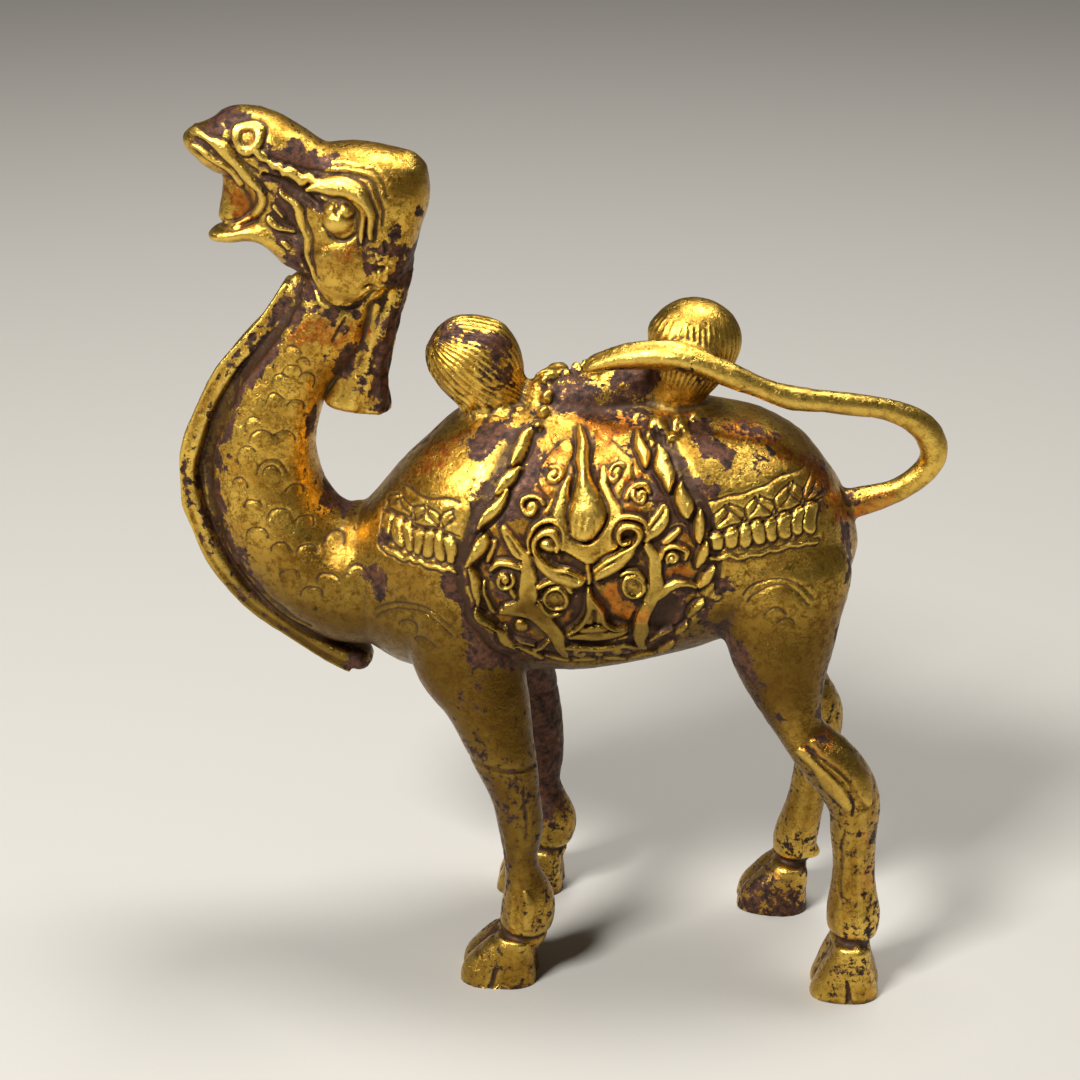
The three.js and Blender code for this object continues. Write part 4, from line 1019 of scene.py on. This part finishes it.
def chase(piece):
    """Cuts the drawing into the skin: vertices move along the normals by the height of the relief."""
    mesh = piece.data
    co = coordinates(mesh)
    normal = normals(mesh)
    x, y, z = co.T
    height = np.zeros(len(co))
    drawn = np.zeros(len(co))
    cloth = np.zeros(len(co))
    # The drawing keeps to skin that faces a flank, below the top of the back and clear of the tail.
    outward = np.sign(y) * normal[:, 1]
    high_on_back = smoothstep(78.4, 80.8, z) * (x > -20) * (x < 40)
    close, _, _, away = around(co, TAIL, 0.35, 1)
    off_tail = np.ones(len(co))
    off_tail[close[away < 1.35]] = 0
    for side in (NEAR, FAR):
        chosen = np.flatnonzero((np.sign(y) == side) & (outward > 0.12) & (np.abs(y) > 1.4))
        shaken = co[chosen] + drift(co[chosen], *DRAWING_DRIFT)
        relief = Relief(shaken[:, 0], shaken[:, 2])
        draw_side(relief, side)
        field = cloth_share(relief)
        keep = smoothstep(0.16, 0.5, outward[chosen]) * (1 - high_on_back[chosen]) * off_tail[chosen]
        height[chosen] += (relief.height - CLOTH_SUNK * field) * keep
        drawn[chosen] = relief.height * keep
        cloth[chosen] = field * keep
    height += hump_flutes(co) * off_tail + tail_ridge(co) + lock_curls(co) + wool(co)
    height += mane_strands(co) + leg_creases(co)
    height += drift(co, *SKIN_DRIFT)[:, 0] + drift(co, *SKIN_GRAIN)[:, 1]
    moved = co + normal * height[:, None]
    mesh.vertices.foreach_set("co", moved.astype(np.float32).ravel())
    mesh.update()
    store(mesh, "drawn", drawn)
    store(mesh, "cloth", cloth)


def hollows(mesh, rounds):
    """How far each vertex lies below its smoothed neighbourhood, in millimetres."""
    co = coordinates(mesh)
    edges = np.empty(len(mesh.edges) * 2, np.int64)
    mesh.edges.foreach_get("vertices", edges)
    a, b = edges.reshape(-1, 2).T
    count = np.bincount(a, minlength=len(co)) + np.bincount(b, minlength=len(co))
    smooth = co.copy()
    for _ in range(rounds):
        total = np.empty_like(smooth)
        for axis in range(3):
            total[:, axis] = np.bincount(a, smooth[b, axis], len(co))
            total[:, axis] += np.bincount(b, smooth[a, axis], len(co))
        smooth = total / np.maximum(count, 1)[:, None]
    return ((smooth - co) * normals(mesh)).sum(axis=1)


def count_triangles(mesh):
    mesh.calc_loop_triangles()
    return len(mesh.loop_triangles)


def build_camel():
    rough = bmesh.new()
    main_forms(rough)
    body = cast(rough, "body_masses", ROUGH_VOXEL, 10)
    fine = bmesh.new()
    small_forms(fine)
    fine.from_mesh(body.data)
    bpy.data.objects.remove(body)
    camel = cast(fine, "gilt_camel", FINE_VOXEL, 4)
    chase(camel)
    return camel


def keep_detail(piece, co):
    """A vertex group that holds the finely chased areas."""
    group = piece.vertex_groups.new(name="detail")
    for side, kept in ((NEAR, KEPT_NEAR), (FAR, KEPT_FAR)):
        for x0, x1, z0, z1 in DETAIL_BOXES:
            inside = (co[:, 0] > x0) & (co[:, 0] < x1) & (co[:, 2] > z0) & (co[:, 2] < z1)
            chosen = np.flatnonzero(inside & (np.sign(co[:, 1]) == side))
            group.add(chosen.tolist(), kept, "REPLACE")


def finish_mesh(piece):
    """Keeps the piece inside the solid's box, notes its hollows, thins it and works out the wear and the
    painted shade.
    """
    mesh = piece.data
    low, high = (np.array(corner) / MM for corner in CAD_BOX)
    co = np.clip(coordinates(mesh), low, high)
    mesh.vertices.foreach_set("co", co.astype(np.float32).ravel())
    mesh.update()
    store(mesh, "fine_hollow", hollows(mesh, FINE_ROUNDS))
    store(mesh, "broad_hollow", hollows(mesh, BROAD_ROUNDS))
    keep_detail(piece, co)
    thin = piece.modifiers.new("thin", "DECIMATE")
    thin.ratio = min(1, TRIANGLES / count_triangles(mesh))
    thin.use_collapse_triangulate = True
    thin.vertex_group = "detail"
    thin.vertex_group_factor = KEPT_COST
    thin.invert_vertex_group = True
    apply_modifiers(piece)
    wear_and_painted_shade(piece.data)
    piece.data.transform(Matrix.Scale(MM, 4))
    piece.data.shade_smooth()
    return piece


def spread(co, table):
    """How strongly each vertex lies within the patches of a table, from 0 to 1."""
    strength = np.zeros(len(co))
    for radius, most, points in table:
        points = np.array(points, float)
        low = points.min(axis=0) - 2 * radius
        high = points.max(axis=0) + 2 * radius
        close = np.flatnonzero(((co > low) & (co < high)).all(axis=1))
        for start, end in zip(points[:-1], points[1:]):
            along = end - start
            share = np.clip((co[close] - start) @ along / (along @ along + 1e-9), 0, 1)
            away = np.linalg.norm(co[close] - start - share[:, None] * along, axis=1)
            value = most * (1 - smoothstep(0.45, 1.55, away / radius))
            strength[close] = np.maximum(strength[close], value)
    return strength


def wear_and_painted_shade(mesh):
    """Where the gold is gone, where copper shows, where grime and painted shade darken the gold and where
    hands have rubbed.
    """
    co = coordinates(mesh)
    x, _, z = co.T
    down = -normals(mesh)[:, 2]
    ragged = co + drift(co, *EDGE_DRIFT) + drift(co, *EDGE_GRAIN)
    drawn = stored(mesh, "drawn")
    cloth = stored(mesh, "cloth")
    copper = spread(ragged, COPPER)
    # Low on the cloth the raised relief counts for less, so more of its gold is lost: painted shade on the
    # mask's lower part.
    raised = smoothstep(0.15, 0.45, drawn) * (1 - 0.5 * smoothstep(60, 50, z) * cloth)
    sunk = cloth * (1 - smoothstep(0.05, 0.3, drawn))

    # The lower legs are speckled all over, and gold stays on raised relief and on the cloth's copper.
    legs = 0.36 * smoothstep(48, 32, z)
    bare_and_shade = np.maximum(spread(ragged, BARE_AND_SHADE), np.maximum(legs, 0.3 * sunk)) * (1 - 0.7 * raised)
    store(mesh, "bare_and_shade", bare_and_shade * (1 - 0.7 * copper * (cloth > 0.1)))
    store(mesh, "copper", np.maximum(copper, 0.55 * sunk))

    hollow = FINE_WEIGHT * stored(mesh, "fine_hollow") + BROAD_WEIGHT * stored(mesh, "broad_hollow")
    hollow += LINE_WEIGHT * np.clip(-drawn, 0, 0.3)
    store(mesh, "recess", np.clip(hollow, -2, 2))

    # Painted shade, with some grime, darkens the lower body, less the hind shins and the hooves, and the
    # cloth's lower part; whatever faces down is darkened as painted shade.
    rear_shin = smoothstep(22, 32, x) * smoothstep(46, 36, z)
    low_body = smoothstep(72, 48, z) * (1 - 0.5 * rear_shin) * (1 - 0.6 * smoothstep(20, 10, z))
    low_cloth = cloth * smoothstep(64, 51, z)
    store(mesh, "grime_and_painted_shade", np.clip(low_body + 0.5 * smoothstep(0, 0.9, down) + 0.7 * low_cloth, 0, 1))


def srgb(code):
    """The linear colour of a six-digit sRGB hex value."""
    channels = [int(code[i:i + 2], 16) / 255 for i in (0, 2, 4)]
    linear = [c / 12.92 if c <= 0.04045 else ((c + 0.055) / 1.055) ** 2.4 for c in channels]
    return (*linear, 1)


def add_node(tree, kind, inputs, output=0, **settings):
    """Adds a node with its settings, fills its inputs with values or links, and gives an output."""
    node = tree.nodes.new(kind)
    for name, value in settings.items():
        setattr(node, name, value)
    for key, value in inputs.items():
        if isinstance(value, bpy.types.NodeSocket):
            tree.links.new(value, node.inputs[key])
        else:
            node.inputs[key].default_value = value
    return None if output is None else node.outputs[output]


def new_material(name):
    material = bpy.data.materials.new(name)
    material.use_nodes = True
    material.node_tree.nodes.clear()
    return material, material.node_tree


def fire_gilt_bronze():
    """Fire gilding over cast bronze: bright rubbed gold with a painted highlight on the heights, worn to
    purple-brown patina and coppery ground, with painted shade low down.
    """
    material, tree = new_material("fire_gilt_bronze")
    place = add_node(tree, "ShaderNodeTexCoord", {}, "Object")
    bare_and_shade, copper, recess, grime_and_painted_shade = (
        add_node(tree, "ShaderNodeAttribute", {}, "Fac", attribute_name=name)
        for name in ("bare_and_shade", "copper", "recess", "grime_and_painted_shade")
    )
    # Blotches of thick and thin gold, lines that wander through it, worn flecks and casting grain.
    blotch, wander, fleck, grain = (
        add_node(tree, "ShaderNodeTexNoise",
                 {"Vector": place, "Scale": 1 / (size * MM), "Detail": detail, "Roughness": roughness})
        for size, detail, roughness in GOLD_PATTERNS
    )

    # Shares of 0 to 1 in which each colour covers the ones before it.
    thick = add_node(tree, "ShaderNodeMapRange", {"Value": blotch, "From Min": 0.4, "From Max": 0.62})
    thin = add_node(tree, "ShaderNodeMapRange", {"Value": fleck, "From Min": 0.5, "From Max": 0.62})
    # Painted shade with some grime darkens the gold low down and where it faces down.
    shade_and_grime = add_node(tree, "ShaderNodeMath", {0: grime_and_painted_shade, 1: 0.9}, operation="MULTIPLY")
    # Fine wandering lines that chasing and handling left in the gold.
    wander = add_node(tree, "ShaderNodeMath", {0: wander, 1: 0.5}, operation="SUBTRACT")
    wander = add_node(tree, "ShaderNodeMath", {0: wander}, operation="ABSOLUTE")
    lines = add_node(tree, "ShaderNodeMapRange",
                     {"Value": wander, "From Min": 0.004, "From Max": 0.022, "To Min": 0.6, "To Max": 0.0})
    # Copper shows through in ragged fields, broken up by the flecks.
    ground = add_node(tree, "ShaderNodeMath", {0: fleck, 1: 2, 2: copper}, operation="MULTIPLY_ADD")
    ground = add_node(tree, "ShaderNodeMapRange", {"Value": ground, "From Min": 1.45, "From Max": 1.7})
    # The heights are rubbed bright and given a painted highlight, least where grime and painted shade sit.
    rub_and_highlight = add_node(tree, "ShaderNodeMapRange",
                   {"Value": recess, "From Min": -0.3, "From Max": -1.1, "To Max": 0.8})
    clean_and_unshaded = add_node(tree, "ShaderNodeMath", {0: grime_and_painted_shade, 1: -0.75, 2: 1}, operation="MULTIPLY_ADD")
    rub_and_highlight = add_node(tree, "ShaderNodeMath", {0: rub_and_highlight, 1: clean_and_unshaded}, operation="MULTIPLY")
    # The gold ends in ragged edges on dark patina, and only in flecks elsewhere; on the mane's rear side and
    # low on the mask this patina is painted shade.
    lost_and_shade = add_node(tree, "ShaderNodeMath", {0: bare_and_shade, 1: 1.3}, operation="MULTIPLY")
    for part, weight in ((fleck, 3), (blotch, 1.3), (recess, 0.25)):
        lost_and_shade = add_node(tree, "ShaderNodeMath", {0: part, 1: weight, 2: lost_and_shade}, operation="MULTIPLY_ADD")
    lost_and_shade = add_node(tree, "ShaderNodeMapRange", {"Value": lost_and_shade, "From Min": 2.68, "From Max": 2.84})
    deep = add_node(tree, "ShaderNodeMapRange", {"Value": fleck, "From Min": 0.4, "From Max": 0.62})
    # Brown grime keeps to the chased lines.
    dirt = add_node(tree, "ShaderNodeMath", {0: grain, 1: 0.7, 2: recess}, operation="MULTIPLY_ADD")
    dirt = add_node(tree, "ShaderNodeMapRange",
                    {"Value": dirt, "From Min": 0.5, "From Max": 1.3, "To Max": 0.9})

    gold, red, patina = (
        add_node(tree, "ShaderNodeMix", {"Factor": share, 6: srgb(one), 7: srgb(other)}, 2, data_type="RGBA")
        for share, one, other in ((thick, *GOLD), (thin, *COPPERY), (deep, *PATINA))
    )
    colour = gold
    layers = (
        (thin, srgb(THIN_GOLD)), (shade_and_grime, srgb(SHADE_AND_GRIME_GOLD)), (lines, srgb(LINE_BROWN)), (ground, red),
        (rub_and_highlight, srgb(RUBBED_GOLD_AND_HIGHLIGHT)), (lost_and_shade, patina), (dirt, srgb(DIRT_BROWN)),
    )
    for share, cover in layers:
        colour = add_node(tree, "ShaderNodeMix", {"Factor": share, 6: colour, 7: cover}, 2, data_type="RGBA")

    dull = add_node(tree, "ShaderNodeMath", {0: lost_and_shade, 1: dirt}, operation="MAXIMUM")
    rough = add_node(tree, "ShaderNodeMapRange",
                     {"Value": fleck, "From Min": 0.35, "From Max": 0.65, "To Min": 0.22, "To Max": 0.45})
    rough = add_node(tree, "ShaderNodeMath", {0: dull, 1: 0.2, 2: rough}, operation="MULTIPLY_ADD")
    metal = add_node(tree, "ShaderNodeMapRange", {"Value": dull, "To Min": 1.0, "To Max": 0.5})
    pitted = add_node(tree, "ShaderNodeMath", {0: fleck, 1: 1.6, 2: grain}, operation="MULTIPLY_ADD")
    pitted = add_node(tree, "ShaderNodeMath", {0: lines, 1: -0.5, 2: pitted}, operation="MULTIPLY_ADD")
    skin = add_node(tree, "ShaderNodeBump", {"Height": pitted, "Strength": 0.5, "Distance": 0.12 * MM})
    shader = add_node(tree, "ShaderNodeBsdfPrincipled", {
        "Base Color": colour, "Roughness": rough, "Metallic": metal, "Normal": skin,
    })
    add_node(tree, "ShaderNodeOutputMaterial", {"Surface": shader}, output=None)
    return material


def floor():
    bm = bmesh.new()
    bmesh.ops.create_grid(bm, x_segments=1, y_segments=1, size=FLOOR_REACH)
    mesh = bpy.data.meshes.new("floor")
    bm.to_mesh(mesh)
    bm.free()
    ground = bpy.data.objects.new("floor", mesh)
    bpy.context.scene.collection.objects.link(ground)
    material, tree = new_material("pale_matt_paper")
    shader = add_node(tree, "ShaderNodeBsdfPrincipled", {"Base Color": srgb(FLOOR_COLOUR), "Roughness": 0.9})
    add_node(tree, "ShaderNodeOutputMaterial", {"Surface": shader}, output=None)
    ground.data.materials.append(material)


def lights():
    for name, place, size, power in LIGHTS:
        lamp = bpy.data.lights.new(name, "AREA")
        lamp.shape = "RECTANGLE"
        lamp.size, lamp.size_y = size
        lamp.energy = power
        light = bpy.data.objects.new(name, lamp)
        light.location = place
        light.rotation_euler = (AIM - Vector(place)).to_track_quat("-Z", "Y").to_euler()
        bpy.context.scene.collection.objects.link(light)
    world = bpy.data.worlds.new("studio_air")
    world.use_nodes = True
    background = world.node_tree.nodes["Background"]
    background.inputs["Color"].default_value = srgb(AIR_COLOUR)
    background.inputs["Strength"].default_value = AIR_STRENGTH
    bpy.context.scene.world = world
    bpy.context.scene.view_settings.view_transform = "Standard"


def camera():
    eye = bpy.data.cameras.new("photograph_view")
    eye.lens = LENS
    eye.sensor_width = SENSOR
    eye.clip_start = 0.01
    holder = bpy.data.objects.new("photograph_view", eye)
    holder.location = CAMERA_PLACE
    holder.rotation_euler = (Vector(CAMERA_AIM) - Vector(CAMERA_PLACE)).to_track_quat("-Z", "Y").to_euler()
    bpy.context.scene.collection.objects.link(holder)
    bpy.context.scene.camera = holder


camera()
floor()
lights()
camel = finish_mesh(build_camel())
camel.data.materials.clear()
camel.data.materials.append(fire_gilt_bronze())
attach(camel, "root")
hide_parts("camel")
